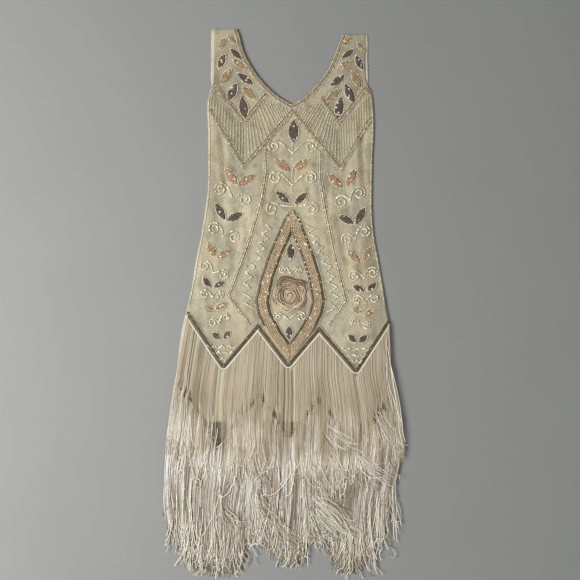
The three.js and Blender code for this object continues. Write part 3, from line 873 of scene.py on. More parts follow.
@dataclass(frozen=True)
class FringeFinish:
    """Silky rayon fringe, in warm and cool threads, with painted sheen highlights and painted shade."""

    name: str
    dark: Numbers = (0.2, 0.155, 0.1)
    warm: Numbers = (0.62, 0.525, 0.38)
    cream: Numbers = (0.8, 0.73, 0.6)
    white: Numbers = (0.98, 0.96, 0.92)
    depth_shade: float = 0.75
    spread: float = 0.95
    middle: float = 0.46
    streaks: float = 0.9

    def material(self) -> Material:
        """Make the fringe's material.

        Returns:
            The material, which reads the numbers thread, bright and layer on the mesh.
        """
        paint = Paint(self.name)
        tone, bright = paint.attribute("thread"), paint.attribute("bright")
        streak = paint.noise(60, 2, (1, 0.05, 1))
        mixed = (tone * self.spread + (streak - self.middle) * self.streaks).clamp()
        base = paint.ramp(mixed, [(0.0, self.dark), (0.3, self.warm), (0.72, self.cream), (1.0, self.white)])
        # painted sheen highlight towards white where bright is above 0, painted shade where it is below 0,
        # and painted shade on the deeper threads by their layer
        base = paint.blend((bright * (0.1 + tone * 1.5)).clamp(), base, self.white)
        base = paint.blend((bright * -1.0).clamp() * 0.8, base, self.dark)
        base = paint.blend((1.0 - paint.attribute("layer")) * self.depth_shade, base, self.dark)
        return paint.finish({
            "Base Color": base, "Roughness": 0.42 + (tone - 0.5) * 0.15, "Sheen Weight": 0.15,
            "Specular IOR Level": 0.5})


@dataclass(frozen=True)
class FloorFinish:
    """Plain pale floor."""

    name: str = "pale_floor"
    colour: Numbers = (0.25, 0.255, 0.246)
    darker: float = 0.94
    patches: Mark = Mark(5, 3, (1, 1, 1), 0.5, 0.8)

    def material(self) -> Material:
        """Make the floor's material.

        Returns:
            The material.
        """
        paint = Paint(self.name)
        base = self.patches.over(paint, self.colour, [part * self.darker for part in self.colour])
        return paint.finish({"Base Color": base, "Roughness": 0.8, "Specular IOR Level": 0.2})


FINISHES = (
    NetFinish(), LiningFinish(), FloorFinish(),
    NetFinish("pale_back_net", (0.66, 0.61, 0.47), (0.4, 0.34, 0.23), (0.58, 0.54, 0.41)),
    BeadFinish("cream_seed_beads", (0.42, 0.38, 0.25), (0.82, 0.77, 0.59), (0.98, 0.96, 0.88)),
    BeadFinish("bronze_beads", (0.15, 0.11, 0.06), (0.4, 0.32, 0.2), (0.7, 0.6, 0.43), 0.3, 0.2),
    BeadFinish("gold_beads", (0.3, 0.22, 0.12), (0.58, 0.46, 0.28), (0.95, 0.86, 0.68), 0.3, 0.1),
    BeadFinish("pale_gold_sequins", (0.36, 0.28, 0.17), (0.66, 0.53, 0.35), (0.97, 0.91, 0.78), 0.3, 0.1),
    BeadFinish("copper_gold_sequins", (0.22, 0.14, 0.07), (0.38, 0.248, 0.13), (0.88, 0.72, 0.52),
               0.36, 0.1, 0.15),
    BeadFinish("beige_sequins", (0.33, 0.245, 0.145), (0.42, 0.32, 0.195), (0.75, 0.61, 0.44),
               0.36, 0.15, 0.15),
    BeadFinish("dark_sequins", (0.065, 0.042, 0.032), (0.108, 0.072, 0.055), (0.8, 0.7, 0.62),
               0.36, 0.1, 0.12),
    BeadFinish("olive_brown_sequins", (0.062, 0.045, 0.022), (0.11, 0.082, 0.046), (0.72, 0.62, 0.48),
               0.32, 0.15, 0.2),
    BeadFinish("plain_olive_sequins", (0.06, 0.045, 0.025), (0.12, 0.092, 0.055), (0.3, 0.25, 0.17),
               0.34, 0.15, 0.2),
    BeadFinish("ray_thread", (0.32, 0.275, 0.18), (0.68, 0.61, 0.42), (0.86, 0.81, 0.64), 0.4, 0.0, 0.1),
    BeadFinish("faint_ray_thread", (0.3, 0.26, 0.17), (0.56, 0.5, 0.345), (0.7, 0.64, 0.47), 0.5, 0.0, 0.0),
    BeadFinish("scroll_beads", (0.32, 0.285, 0.185), (0.76, 0.71, 0.53), (0.97, 0.95, 0.86), 0.35),
    BeadFinish("white_cord", (0.6, 0.53, 0.42), (0.7, 0.63, 0.51), (0.86, 0.8, 0.7), 0.5, 0.0, 0.0),
    BeadFinish("rosette_thread", (0.23, 0.16, 0.1), (0.58, 0.46, 0.325), (0.72, 0.62, 0.49), 0.5, 0.0, 0.0),
    BeadFinish("rosette_dark_thread", (0.12, 0.08, 0.045), (0.2, 0.14, 0.085), (0.34, 0.26, 0.17),
               0.6, 0.0, 0.0),
    TapeFinish("bronze_tape", (0.5, 0.41, 0.27), (0.34, 0.27, 0.17)),
    TapeFinish("gold_tape", (0.43, 0.33, 0.205), (0.33, 0.25, 0.15)),
    TapeFinish("pale_tape", (0.46, 0.4, 0.27), (0.34, 0.28, 0.18)),
    TapeFinish("dark_tape", (0.14, 0.1, 0.08), (0.09, 0.06, 0.05)),
    TapeFinish("rosette_cloth", (0.29, 0.21, 0.13), (0.17, 0.115, 0.065)),
    FringeFinish("silk_fringe"),
    FringeFinish("silk_fringe_loose", (0.2, 0.155, 0.1), (0.62, 0.54, 0.4), (0.84, 0.78, 0.65),
                 (0.98, 0.95, 0.84), 0.2, 0.8, 0.3),
    FringeFinish("silk_fringe_warm", (0.36, 0.285, 0.18), (0.635, 0.53, 0.375), (0.78, 0.69, 0.52),
                 (0.97, 0.92, 0.8), 0.3, 0.5, 0.32, 0.5),
)


# Meshes

@dataclass(frozen=True)
class Stitch:
    """Beads or sequins of one kind, and how they are sewn on in rows."""

    name: str
    bead: Bead
    pitch: float
    width: float
    height: float
    finish: str
    slot: str
    lift: float = ON_NET
    tilt: float = 0.0
    seed: int = 1
    uneven: float = 0.11


class Workroom:
    """Makes meshes in metres at the frame's origin, and hands each piece to the frame."""

    def __init__(self) -> None:
        """Find the layout's place in the frame, and make the shared trees and finishes."""
        low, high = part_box("front_panel")
        self.shift = np.array([low[0] / MM - HEM_ZIGZAG[0][0], high[1] / MM - LEFT_SHOULDER, 0.0])
        self.beads = {bead: row_shape(bead) for bead in Bead}
        self.cords = cord_shape()
        self.threads = thread_shape()
        self.finish = {kind.name: kind.material() for kind in FINISHES}
        self.pieces: dict[str, Piece] = {}

    def mesh(self, name: str, points: Points, faces: Sequence[Sequence[int]],
             edges: Sequence[tuple[int, int]] = ()) -> Piece:
        """Make an object from points in the layout.

        Args:
            name: The piece's name.
            points: Its points, in millimetres.
            faces: Its faces.
            edges: Its loose edges.

        Returns:
            The object, at the origin.
        """
        data = bpy.data.meshes.new(name)
        data.from_pydata(((points + self.shift) * MM).tolist(), edges, faces)
        data.update()
        piece = bpy.data.objects.new(name, data)
        bpy.context.scene.collection.objects.link(piece)
        return piece

    @staticmethod
    def number(piece: Piece, name: str, values: Points) -> None:
        """Store a named number for each point of a piece."""
        store = piece.data.attributes.new(name, "FLOAT", "POINT")
        store.data.foreach_set("value", values.astype(np.float32))

    def paths(self, name: str, runs: Sequence[Points]) -> Piece:
        """Make an object of loose paths, one for each run of points.

        Args:
            name: The piece's name.
            runs: The paths.

        Returns:
            The object.
        """
        edges: list[tuple[int, int]] = []
        first = 0
        for run in runs:
            edges += [(first + i, first + i + 1) for i in range(len(run) - 1)]
            first += len(run)
        return self.mesh(name, np.vstack(runs), [], edges)

    def sheet(self, name: str, grids: Sequence[Points], thickness: float, finish: str) -> Piece:
        """Make a closed cloth shell below grids of points on its face.

        Args:
            name: The piece's name.
            grids: Grids of points, rows by columns, that share their touching edges.
            thickness: The wall, in millimetres.
            finish: Its finish.

        Returns:
            The object, whose face looks up.
        """
        index: dict[tuple[float, float], int] = {}
        points: list[Points] = []
        faces: list[list[int]] = []

        def place_of(point: Points) -> int:
            """Return the number of a point in the mesh.

            Args:
                point: The point, which may lie on one that is there.

            Returns:
                Its number, new or shared.
            """
            key = (round(float(point[0]), 3), round(float(point[1]), 3))
            if key not in index:
                index[key] = len(points)
                points.append(point)
            return index[key]

        for grid in grids:
            ids = [[place_of(point) for point in row] for row in grid]
            for above, below in zip(ids[:-1], ids[1:]):
                for a, b, c, d in zip(above[:-1], above[1:], below[1:], below[:-1]):
                    ring = list(dict.fromkeys((a, b, c, d)))
                    if len(ring) > 2:
                        faces.append(ring)
        places = np.array(points)
        faces = [ring if self._turns_left(places[ring]) else ring[::-1] for ring in faces]
        piece = self.mesh(name, places, faces)
        wall = piece.modifiers.new("wall", "SOLIDIFY")
        wall.thickness, wall.offset = thickness * MM, -1
        piece.data.materials.append(self.finish[finish])
        keep_shape(piece)
        piece.data.shade_smooth()
        return piece

    @staticmethod
    def _turns_left(ring: Points) -> bool:
        """Return whether a face looks up."""
        x, y = ring[:, 0], ring[:, 1]
        return float(np.dot(x, np.roll(y, -1)) - np.dot(y, np.roll(x, -1))) > 0

    def ribbon(self, name: str, sides: Sequence[tuple[Points, Points]], lift: float, thickness: float,
               finish: str) -> Piece:
        """Return flat tapes, each between two paths, with their faces lifted off the front panel."""
        grids = [np.stack([on_front(path, lift) for path in (one, (one + two) / 2, two)], axis=1)
                 for one, two in sides]
        return self.sheet(name, grids, thickness, finish)

    def sew(self, stitch: Stitch, rows: Sequence[Points]) -> None:
        """Sew beads or sequins along paths on the front panel, and hand the piece in.

        Args:
            stitch: What is sewn on, and how.
            rows: The paths, in the layout's plane.
        """
        piece = self.paths(stitch.name, [on_front(row, stitch.lift + stitch.height / 2) for row in rows])
        self.beads[stitch.bead].apply(piece, {
            "Pitch": stitch.pitch * MM, "Width": stitch.width * MM, "Height": stitch.height * MM,
            "Tilt": stitch.tilt, "Seed": stitch.seed, "Uneven": stitch.uneven,
            "Material": self.finish[stitch.finish]})
        self.hand_in(piece, stitch.slot)

    def cord(self, name: str, paths: Sequence[Points], radius: float, pitch: float, finish: str,
             slot: str) -> None:
        """Lay cords along paths and hand them in as one piece.

        Args:
            name: The piece's name.
            paths: The cords' middle lines.
            radius: The cord's radius.
            pitch: How far apart its rings of points are.
            finish: Its finish.
            slot: Its material slot.
        """
        piece = self.paths(name, paths)
        self.cords.apply(piece, {"Radius": radius * MM, "Pitch": pitch * MM, "Material": self.finish[finish]})
        self.hand_in(piece, slot)

    def hand_in(self, piece: Piece, slot: str, nodes: Sequence[str] = ()) -> None:
        """Let a piece ride on the body, and put it in the place of CAD nodes.

        Args:
            piece: The piece.
            slot: Its material slot; not used.
            nodes: The CAD nodes in whose place it is put.
        """
        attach(piece, BODY)
        if nodes:
            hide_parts(*nodes)
        self.pieces[piece.name] = piece
        log.info("%s: %d faces", piece.name, len(piece.data.polygons))


# Sub-assemblies

@dataclass
class Cloth:
    """The front and back panels of net, and the linings of the skirt."""

    room: Workroom
    strap_show: float = 7.0
    strap_end: float = 500.0
    neck_inset: float = 3.0
    ease: float = 20.0
    front_step: float = 5.0
    back_step: float = 8.0
    hem_rows: int = 34
    skirt_start: float = 4.0
    skirt_fade: float = 5.0
    lining_rows: int = 32
    lining_columns: int = 48
    lining_wave: float = 0.12
    panel_size: tuple[float, float] = (0.494, 0.962)
    lining_size: tuple[float, float] = (0.4425, 0.265)
    front_area: float = 0.344
    back_area: float = 0.348
    lining_area: float = 0.114
    shading: tuple[Numbers, ...] = (
        # middle x and y, half width, half height, how much darker (or lighter, below 0) the cloth is: painted
        # shade and painted light
        (-162, 310, 8, 150, 0.42), (-150, 420, 8, 60, 0.2), (-178, 150, 8, 60, 0.25),
        (197, 330, 9, 120, 0.3), (166, 330, 6, 70, 0.3), (186, 120, 8, 70, 0.25),
        (-128, 590, 40, 60, 0.3), (-118, 612, 16, 14, 0.3), (156, 580, 44, 60, 0.26),
        (2, 385, 16, 60, 0.22), (14, 235, 30, 16, 0.2), (-118, 150, 7, 60, 0.2),
        (108, 150, 7, 60, 0.2), (-60, 300, 6, 50, 0.2), (92, 300, 6, 50, 0.2),
        (-158, 508, 16, 34, 0.65), (-142, 478, 14, 16, 0.3), (-160, 160, 8, 50, 0.4),
        (-191, 113, 6, 30, 0.3), (-110, -28, 30, 30, -0.3), (-86, 220, 9, 60, -0.35),
        (-138, 240, 7, 70, -0.3), (60, 200, 9, 70, -0.3), (150, 260, 8, 60, -0.3),
        (-206, 60, 10, 50, -0.25), (212, 60, 10, 50, -0.2), (6, -34, 26, 22, -0.35),
        (-128, 472, 26, 20, -0.15), (146, 468, 26, 20, -0.25), (-122, 515, 40, 50, 0.28),
        (150, 505, 36, 50, 0.2), (-133, 452, 24, 26, 0.35), (150, 392, 26, 30, -0.3),
        (-36, 446, 24, 24, -0.25), (-171, 335, 8, 80, 0.25),
    )

    def halves(self, step: float, extra: Callable[[Points], Points], inset: float,
               height: Callable[[Points, Points], Points]) -> list[Points]:
        """Return the left and right grids of a panel.

        Args:
            step: About how far apart its points are.
            extra: How far the outline reaches past the front's, at a level.
            inset: How far the neckline is cut back.
            height: The height of the face at a place.

        Returns:
            Two grids of points, rows by columns.
        """
        grids = []
        middle = HEM_ZIGZAG[3][0]
        for sign, name, shoulder, hem_outer in ((-1, "left", LEFT_SHOULDER, HEM_ZIGZAG[0][0]),
                                                (1, "right", RIGHT_SHOULDER, HEM_ZIGZAG[-1][0])):
            knots = [x for x, _ in HEM_ZIGZAG if min(hem_outer, middle) <= x <= max(hem_outer, middle)]
            shares = sorted((x - hem_outer) / (middle - hem_outer) for x in knots)
            columns = np.unique(np.concatenate([
                np.linspace(a, b, 1 + round((b - a) * abs(middle - hem_outer) / step))
                for a, b in zip(shares[:-1], shares[1:])]))

            def across(y: Points) -> Points:
                """Return the points' places across at levels.

                Args:
                    y: The levels.

                Returns:
                    For each level, the place of every column.
                """
                outer = FRONT_OUTLINE.smooth(y, name) + sign * extra(y)
                cut = sign * inset * np.clip((y - V_POINT_Y) / self.ease, 0, 1)
                neck = NECKLINE.smooth(y, name) + cut
                inner = np.where(y > V_POINT_Y, neck, CENTRE_LINE.straight(y, "x"))
                return outer[..., None] + (inner - outer)[..., None] * columns

            levels = np.concatenate([
                np.linspace(shoulder, V_POINT_Y, round((shoulder - V_POINT_Y) / step), endpoint=False),
                np.linspace(V_POINT_Y, HIP, round((V_POINT_Y - HIP) / step) + 1)])
            xs, ys = across(levels), np.repeat(levels[:, None], len(columns), axis=1)
            end_x = hem_outer + (middle - hem_outer) * columns
            end_y = HEM_LINE.straight(end_x, "y")
            fan_x, fan_y = [], []
            for t in np.linspace(0, 1, self.hem_rows + 1)[1:]:
                y = HIP + (end_y - HIP) * t
                free = np.array([across(np.array([level]))[0, i] for i, level in enumerate(y)])
                fan_x.append(free + (end_x - free) * t)
                fan_y.append(y)
            xs, ys = np.vstack([xs, fan_x]), np.vstack([ys, fan_y])
            grids.append(np.stack([xs, ys, height(xs, ys)], axis=2))
        return grids

    def build(self) -> None:
        """Make the panels and linings, each in the place of its CAD node."""
        room = self.room
        front = self.halves(self.front_step, lambda y: 0 * y, 0.0, LIE.front_top)
        back = self.halves(
            self.back_step, lambda y: self.strap_show * np.clip((y - self.strap_end) / self.ease, 0, 1),
            self.neck_inset, lambda x, y: LIE.back_lift(y) + LIE.net_wall + 0 * x)
        panel = room.sheet("front_net", front, LIE.net_wall, "cream_net")
        self.mark(panel)
        room.hand_in(panel, "net", ["front_panel"])
        room.hand_in(room.sheet("back_net", back, LIE.net_wall, "pale_back_net"), "net", ["back_panel"])
        level = LIE.fringe_lift + LIE.net_wall + LIE.seam_gap
        for node in ("back_lining", "front_lining"):
            piece = room.sheet(f"{node}_cloth", [self.lining_grid(level)], LIE.lining_wall, "pale_lining")
            room.hand_in(piece, "lining", [node])
            level = level + LIE.lining_wall + LIE.seam_gap

    def mark(self, panel: Piece) -> None:
        """Store on a panel how far each point is past the hip zigzag, and its painted shade and painted
        light.

        Args:
            panel: The panel.
        """
        places = np.empty(len(panel.data.vertices) * 3)
        panel.data.vertices.foreach_get("co", places)
        places = places.reshape(-1, 3) / MM - self.room.shift
        x, y = places[:, 0], places[:, 1]
        past = np.clip((HIP_LINE.straight(x, "y") - self.skirt_start - y) / self.skirt_fade, 0, 1)
        self.room.number(panel, "skirt", past)
        self.room.number(panel, "shading", soft_spots(self.shading, x, y))

    def lining_grid(self, level: float) -> Points:
        """Return a lining's face, straight at the hem.

        Args:
            level: The height of its underside.

        Returns:
            Its points, rows by columns.
        """
        y = np.linspace(LINING_TOP, LINING_HEM, self.lining_rows)
        left = FRONT_OUTLINE.smooth(y, "left") + LINING_INSET_LEFT
        right = FRONT_OUTLINE.smooth(y, "right") - LINING_INSET_RIGHT
        x = left[:, None] + (right - left)[:, None] * np.linspace(0, 1, self.lining_columns)
        ys = np.repeat(y[:, None], x.shape[1], axis=1)
        wave = self.lining_wave * np.sin(x / 11.0 + 0.5 * np.sin(ys / 37.0))
        return np.stack([x, ys, level + LIE.lining_wall + wave], axis=2)


@dataclass
class Bands:
    """The beaded bands: neck, chevrons, waist lines and the two zigzags."""

    room: Workroom
    neck_inset: float = 4.5
    neck_join: Numbers = (14.0, 454.5)
    neck_levels: Numbers = (633, 618, 600, 581, 561, 542, 524, 507, 492, 478, 469)
    neck_width: float = 6.0
    chevron_width: float = 6.0
    line_width: float = 4.0
    zigzag_width: float = 5.9
    hem_rise: float = 5.2
    hem_inset: float = 6.0
    step: float = 8.0
    tape_wall: float = 0.7
    chevrons: tuple[tuple[Numbers, ...], ...] = (
        ((-170, 486), (-160, 496), (-96, 420), (-46, 482)),
        ((80, 475), (121, 418), (182, 496), (190, 486)),
        ((-175, 447), (-97, 318), (15, 445), (125, 313), (194, 428)),
    )
    lines: tuple[tuple[Numbers, ...], ...] = (
        ((-48, 361), (-47, 300), (-56, 245), (-80, 160), (-131, 20), (-83, -44)),
        ((78, 352), (77, 290), (89, 221), (107, 130), (136, 10), (98, -47)),
    )

    def band(self, name: str, paths: Sequence[Points], width: float, finish: str, slot: str,
             nodes: Sequence[str], rows: Sequence[tuple[Stitch, Numbers]] = ()) -> None:
        """Lay a tape along paths, in the place of CAD bands, and sew rows on it and beside it.

        Args:
            name: The tape's name.
            paths: The middle lines.
            width: The tape's width.
            finish: The tape's finish.
            slot: The tape's material slot.
            nodes: The CAD nodes in whose place it is put.
            rows: What is sewn on, and how far aside of the paths.
        """
        sides = [(beside(path, width / 2), beside(path, -width / 2)) for path in paths]
        self.room.hand_in(self.room.ribbon(name, sides, ON_TAPE, self.tape_wall, finish), slot, nodes)
        for stitch, asides in rows:
            self.room.sew(stitch, [beside(path, aside) for path in paths for aside in asides])

    def neck_path(self, name: str, side: int, top: float) -> Points:
        """Return one edge of the neckline, moved on to the cloth.

        Args:
            name: The edge, left or right.
            side: -1 for the left edge and 1 for the right.
            top: The level of its shoulder.

        Returns:
            The path, from the shoulder to the point of the V.
        """
        levels = np.array([min(level, top - 1) for level in self.neck_levels], dtype=float)
        edge = np.stack([NECKLINE.smooth(levels, name), levels], axis=1)
        return np.vstack([beside(edge, side * self.neck_inset), [self.neck_join]])

    def build_neck(self) -> None:
        """Make the neck binding and its rows of bronze, gold and cream beads."""
        left, right = self.neck_path("left", -1, LEFT_SHOULDER), self.neck_path("right", 1, RIGHT_SHOULDER)
        self.band("neck_binding", [left, right], self.neck_width, "bronze_tape", "bronze_beads",
                  ["neck_band_left", "neck_band_right"])
        for stitch, aside in (
                (Stitch("neck_bronze_row", Bead.ROUND, 2.6, 2.5, 1.8, "bronze_beads", "bronze_beads",
                        ON_TAPE), 2.0),
                (Stitch("neck_gold_row", Bead.ROUND, 2.8, 2.6, 1.8, "gold_beads", "gold_sequins",
                        ON_TAPE), -2.0),
                (Stitch("neck_seed_row", Bead.ROUND, 3.0, 2.5, 1.8, "cream_seed_beads", "net"), 5.4)):
            self.room.sew(stitch, [beside(left, -aside), beside(right, aside)])

    def build_chevrons(self) -> None:
        """Make the shoulder chevrons and the bust chevron, in double rows edged with seeds."""
        self.band("chevron_tapes", [corners(path, self.step) for path in self.chevrons], self.chevron_width,
                  "bronze_tape", "bronze_beads",
                  ["shoulder_chevron_left", "shoulder_chevron_right", "bust_chevron"], [
                      (Stitch("chevron_bronze_rows", Bead.ROUND, 2.8, 2.4, 1.7, "bronze_beads",
                              "bronze_beads", ON_TAPE, seed=3), (2.2,)),
                      (Stitch("chevron_gold_rows", Bead.ROUND, 2.9, 3.2, 1.9, "gold_beads",
                              "gold_sequins", ON_TAPE, seed=4), (-1.9,)),
                      (Stitch("chevron_seed_rows", Bead.ROUND, 3.1, 2.6, 1.6, "ray_thread", "net", seed=5),
                       (5.2, -5.2))])

    def build_lines(self) -> None:
        """Make the two waist lines."""
        self.band("waist_line_tapes", [corners(path, self.step) for path in self.lines], self.line_width,
                  "pale_tape", "gold_sequins", ["side_line_left", "side_line_right"], [
                      (Stitch("waist_line_sequins", Bead.CUP, 3.2, 3.9, 0.8, "pale_gold_sequins",
                              "gold_sequins", ON_TAPE, 0.3, 6), (0.0,)),
                      (Stitch("waist_line_seeds", Bead.ROUND, 3.1, 2.3, 1.7, "cream_seed_beads", "net",
                              seed=7), (4.3, -4.3))])

    def build_zigzags(self) -> None:
        """Make the dark sequin bands over the two tiers of fringe."""
        hip = corners(HIP_ZIGZAG, self.step)
        hem = beside(np.array(HEM_ZIGZAG, dtype=float), self.hem_rise)
        hem[0, 0] += self.hem_inset
        hem[-1, 0] -= self.hem_inset
        for name, path, node, tape, aside, width in (
                ("hip_zigzag", hip, "hip_band", "pale_tape", 1.5, 3.5),
                ("hem_zigzag", corners(hem, self.step), "hem_band", "dark_tape", 2.0, 4.4)):
            sequins = Stitch(f"{name}_sequins", Bead.CUP, 2.9, width, 0.9, "plain_olive_sequins",
                             "dark_sequins", ON_TAPE, 0.16, 8)
            self.band(f"{name}_tape", [path], self.zigzag_width, tape, "dark_sequins", [node],
                      [(sequins, (aside, -aside))])
        self.room.sew(Stitch("hip_zigzag_seeds", Bead.ROUND, 3.1, 2.4, 1.8, "ray_thread", "net", seed=9),
                      [beside(hip, 4.6)])

    def build(self) -> None:
        """Make every band."""
        self.build_neck()
        self.build_chevrons()
        self.build_lines()
        self.build_zigzags()


@dataclass
class Oval:
    """The pointed oval frame of gold sequins between dark rows, with a coiled rosette."""

    room: Workroom
    lean_x: float = 9.6
    lean_per_y: float = 0.022
    levels: Table = Table("y outer inner", [
        (216, 2, 0), (195, 17, 0), (168, 28, 1), (119, 48, 24), (64, 66, 43), (8, 77, 53),
        (-20, 71, 46), (-60, 51, 23), (-90, 28, 1), (-105, 15, 0), (-120, 2, 0)])
    inner_top: float = 166.0
    inner_bottom: float = -88.0
    hip_meets: float = -46.0
    hip_reach: float = 4.0
    gold_shares: Numbers = (0.2, 0.36, 0.52, 0.68, 0.84)
    least_aside: float = 3.0
    rosette_x: float = 8.0
    rosette_y: float = 22.0
    rosette_radius: float = 41.0
    cushion_radius: float = 35.0
    coil_rings: int = 9
    coil_start: float = 3.5
    coil_jitter: float = 0.25
    coil_advance: float = 0.9
    coil_overlap: float = 1.15
    coil_drift: Numbers = (-5.5, 1.0)
    coil_rise: Numbers = (2.0, 2.8)
    shade_rise: Numbers = (2.2, 3.4)
    petal_start: float = 0.35
    petals: int = 5
    petal_reach: float = 24.0
    petal_radii: Numbers = (5.0, 9.0, 13.0)
    shade_threads: tuple[tuple, ...] = (
        # how many, then the least and the greatest radius, first angle, sweep and drift
        (46, (30, 44), (0.2, 2.3), (0.4, 0.9), (-4, 3)),
        (26, (12, 36), (0, math.tau), (0.5, 1.2), (-4, 4)),
    )

    def axis(self, y: Points) -> Points:
        """Return where the leaning axis is at levels."""
        return self.lean_x + self.lean_per_y * y

    def side(self, sign: int, name: str, inset: float, low: float, high: float) -> Points:
        """Return one side's edge, from the bottom to the top.

        Args:
            sign: -1 for the left side and 1 for the right.
            name: The edge, outer or inner.
            inset: How far it is moved towards the axis.
            low: The lowest level.
            high: The highest level.

        Returns:
            The path.
        """
        y = np.linspace(low, high, 60)
        half = np.maximum(self.levels.straight(y, name) - inset, 0.6)
        if name == "outer":
            half = half + self.hip_reach * np.clip((self.hip_meets + 12 - y) / 24, 0, 1)
        return np.stack([self.axis(y) + sign * half, y], axis=1)

    def sides(self, name: str, insets: Numbers, low: float, high: float) -> list[Points]:
        """Return both sides' edges at insets, the left side's first."""
        return [self.side(sign, name, inset, low, high) for sign in (-1, 1) for inset in insets]

    def build(self) -> None:
        """Make the frame, its rows and the rosette."""
        room, sew = self.room, self.room.sew
        low, high = float(self.levels.rows[0, 0]), float(self.levels.rows[-1, 0])
        inner_low, inner_high = self.inner_bottom, self.inner_top
        edges = list(zip(self.sides("outer", (0,), low, high), self.sides("inner", (0,), low, high)))
        tape = room.ribbon("oval_frame_tape", edges, 1.3, 0.8, "gold_tape")
        room.hand_in(tape, "gold_sequins", ["oval_frame_left", "oval_frame_right"])
        rows = [outer + (inner - outer) * share for outer, inner in edges for share in self.gold_shares]
        gold = [row[np.abs(row[:, 0] - self.lean_x) > self.least_aside] for row in rows]
        for bottom, top in ((low + 4, inner_low - 3), (inner_high + 4, high - 4)):
            y = np.linspace(bottom, top, 12)
            gold.append(np.stack([self.axis(y), y], axis=1))
        sew(Stitch("oval_gold_sequins", Bead.CUP, 3.6, 5.2, 0.9, "beige_sequins", "gold_sequins",
                   1.4, 0.14, 11), gold)
        sew(Stitch("oval_dark_sequins", Bead.CUP, 3.0, 3.4, 0.9, "olive_brown_sequins", "dark_sequins",
                   1.6, 0.3, 12),
            self.sides("outer", (0.4, 2.2), self.hip_meets, high)
            + self.sides("inner", (-1.2,), inner_low, inner_high)
            + self.sides("inner", (0.8,), inner_low + 4, inner_high - 4))
        sew(Stitch("oval_glints", Bead.CUP, 10.0, 3.4, 0.9, "cream_seed_beads", "dark_sequins",
                   2.1, 0.3, 15, 0.45),
            [self.side(1, "outer", 0.6, 118, 204), self.side(1, "inner", 0.4, 66, 150)])
        sew(Stitch("oval_seed_rows", Bead.ROUND, 3.1, 2.3, 1.7, "ray_thread", "net", seed=13),
            self.sides("outer", (-4.8,), self.hip_meets, high - 4)
            + self.sides("inner", (5.4,), inner_low + 10, inner_high - 10))
        self.build_cushion()
        self.build_coils()

    def build_cushion(self) -> None:
        """Make the rosette's low cushioned round."""
        rings, spokes = 9, 40
        radii = np.linspace(0.5, self.cushion_radius, rings)[:, None]
        turns = np.linspace(0, math.tau, spokes + 1)[None, :]
        x = self.rosette_x + radii * self.ripple(turns, radii) * np.cos(turns)
        y = self.rosette_y + radii * self.ripple(turns, radii) * np.sin(turns)
        share = radii / self.cushion_radius
        rise = 1.2 + 0.9 * np.sqrt(np.clip(1 - share ** 2, 0, 1)) + 0 * turns
        x[:, -1], y[:, -1] = x[:, 0], y[:, 0]
        grid = np.stack([x, y, LIE.front_top(x, y) + rise], axis=2)
        round_piece = self.room.sheet("rosette_round", [grid], 0.7, "rosette_cloth")
        self.room.hand_in(round_piece, "rosette_thread", ["rosette"])

    def build_coils(self) -> None:
        """Lay the rosette's coiled cord and its dark threads."""
        rng = np.random.default_rng(14)
        coils = []
        room_left = self.rosette_radius - 2 * self.coil_start
        for ring in range(self.coil_rings):
            radius = self.coil_start + ring * room_left / (self.coil_rings - 1)
            count = 2 + ring // 2
            for k in range(count):
                place = k + rng.uniform(-self.coil_jitter, self.coil_jitter)
                start = place / count * math.tau + ring * self.coil_advance
                coils.append(self.arc(radius + rng.uniform(-1.0, 1.0), start,
                                      math.tau / count * self.coil_overlap, rng.uniform(*self.coil_drift)))
        coils += [self.petal(k * math.tau / self.petals + self.petal_start, radius)
                  for k in range(self.petals) for radius in self.petal_radii]
        self.room.cord("rosette_coils", [on_front(coil, rng.uniform(*self.coil_rise)) for coil in coils],
                       1.1, 2.6, "rosette_thread", "rosette_thread")
        threads = []
        for count, *ranges in self.shade_threads:
            threads += [self.arc(*(rng.uniform(least, most) for least, most in ranges))
                        for _ in range(count)]
        laid = [on_front(thread, rng.uniform(*self.shade_rise)) for thread in threads]
        self.room.cord("rosette_threads", laid, 0.55, 3.0, "rosette_dark_thread", "rosette_thread")

    def ripple(self, turn: Points, radius: Points) -> Points:
        """Return how a round of the rosette swells and dips along its way, about 1."""
        return 1 + 0.09 * np.sin(turn * 5 + 0.6 + radius * 0.09) * (radius / self.rosette_radius)

    def arc(self, radius: float, start: float, sweep: float, drift: float) -> Points:
        """Return a rippled arc about the rosette's centre that drifts in or out.

        Args:
            radius: Its radius at the start.
            start: Its first angle.
            sweep: The angle that it covers.
            drift: How far it moves outwards on its way.

        Returns:
            The path.
        """
        t = np.linspace(0, 1, 8 + int(sweep * radius / 3))
        turn = start + sweep * t
        size = (radius + drift * t) * self.ripple(turn, radius)
        return np.stack([self.rosette_x + size * np.cos(turn), self.rosette_y + size * np.sin(turn)], axis=1)

    def petal(self, angle: float, radius: float) -> Points:
        """Return a bowed arc like a petal's edge, open towards the rosette's centre.

        Args:
            angle: Which way the petal points.
            radius: The arc's radius.

        Returns:
            The path.
        """
        turn = angle + np.linspace(-1.5, 1.5, 22)
        x = self.rosette_x + self.petal_reach * math.cos(angle)
        y = self.rosette_y + self.petal_reach * math.sin(angle)
        return np.stack([x + radius * np.cos(turn), y + radius * np.sin(turn)], axis=1)


class Sequin(Enum):
    """The two colours of the leaves."""

    DARK = "dark"
    GOLD = "gold"


D, G = Sequin.DARK, Sequin.GOLD
Leaf = tuple[float, float, float, float, float, Sequin]


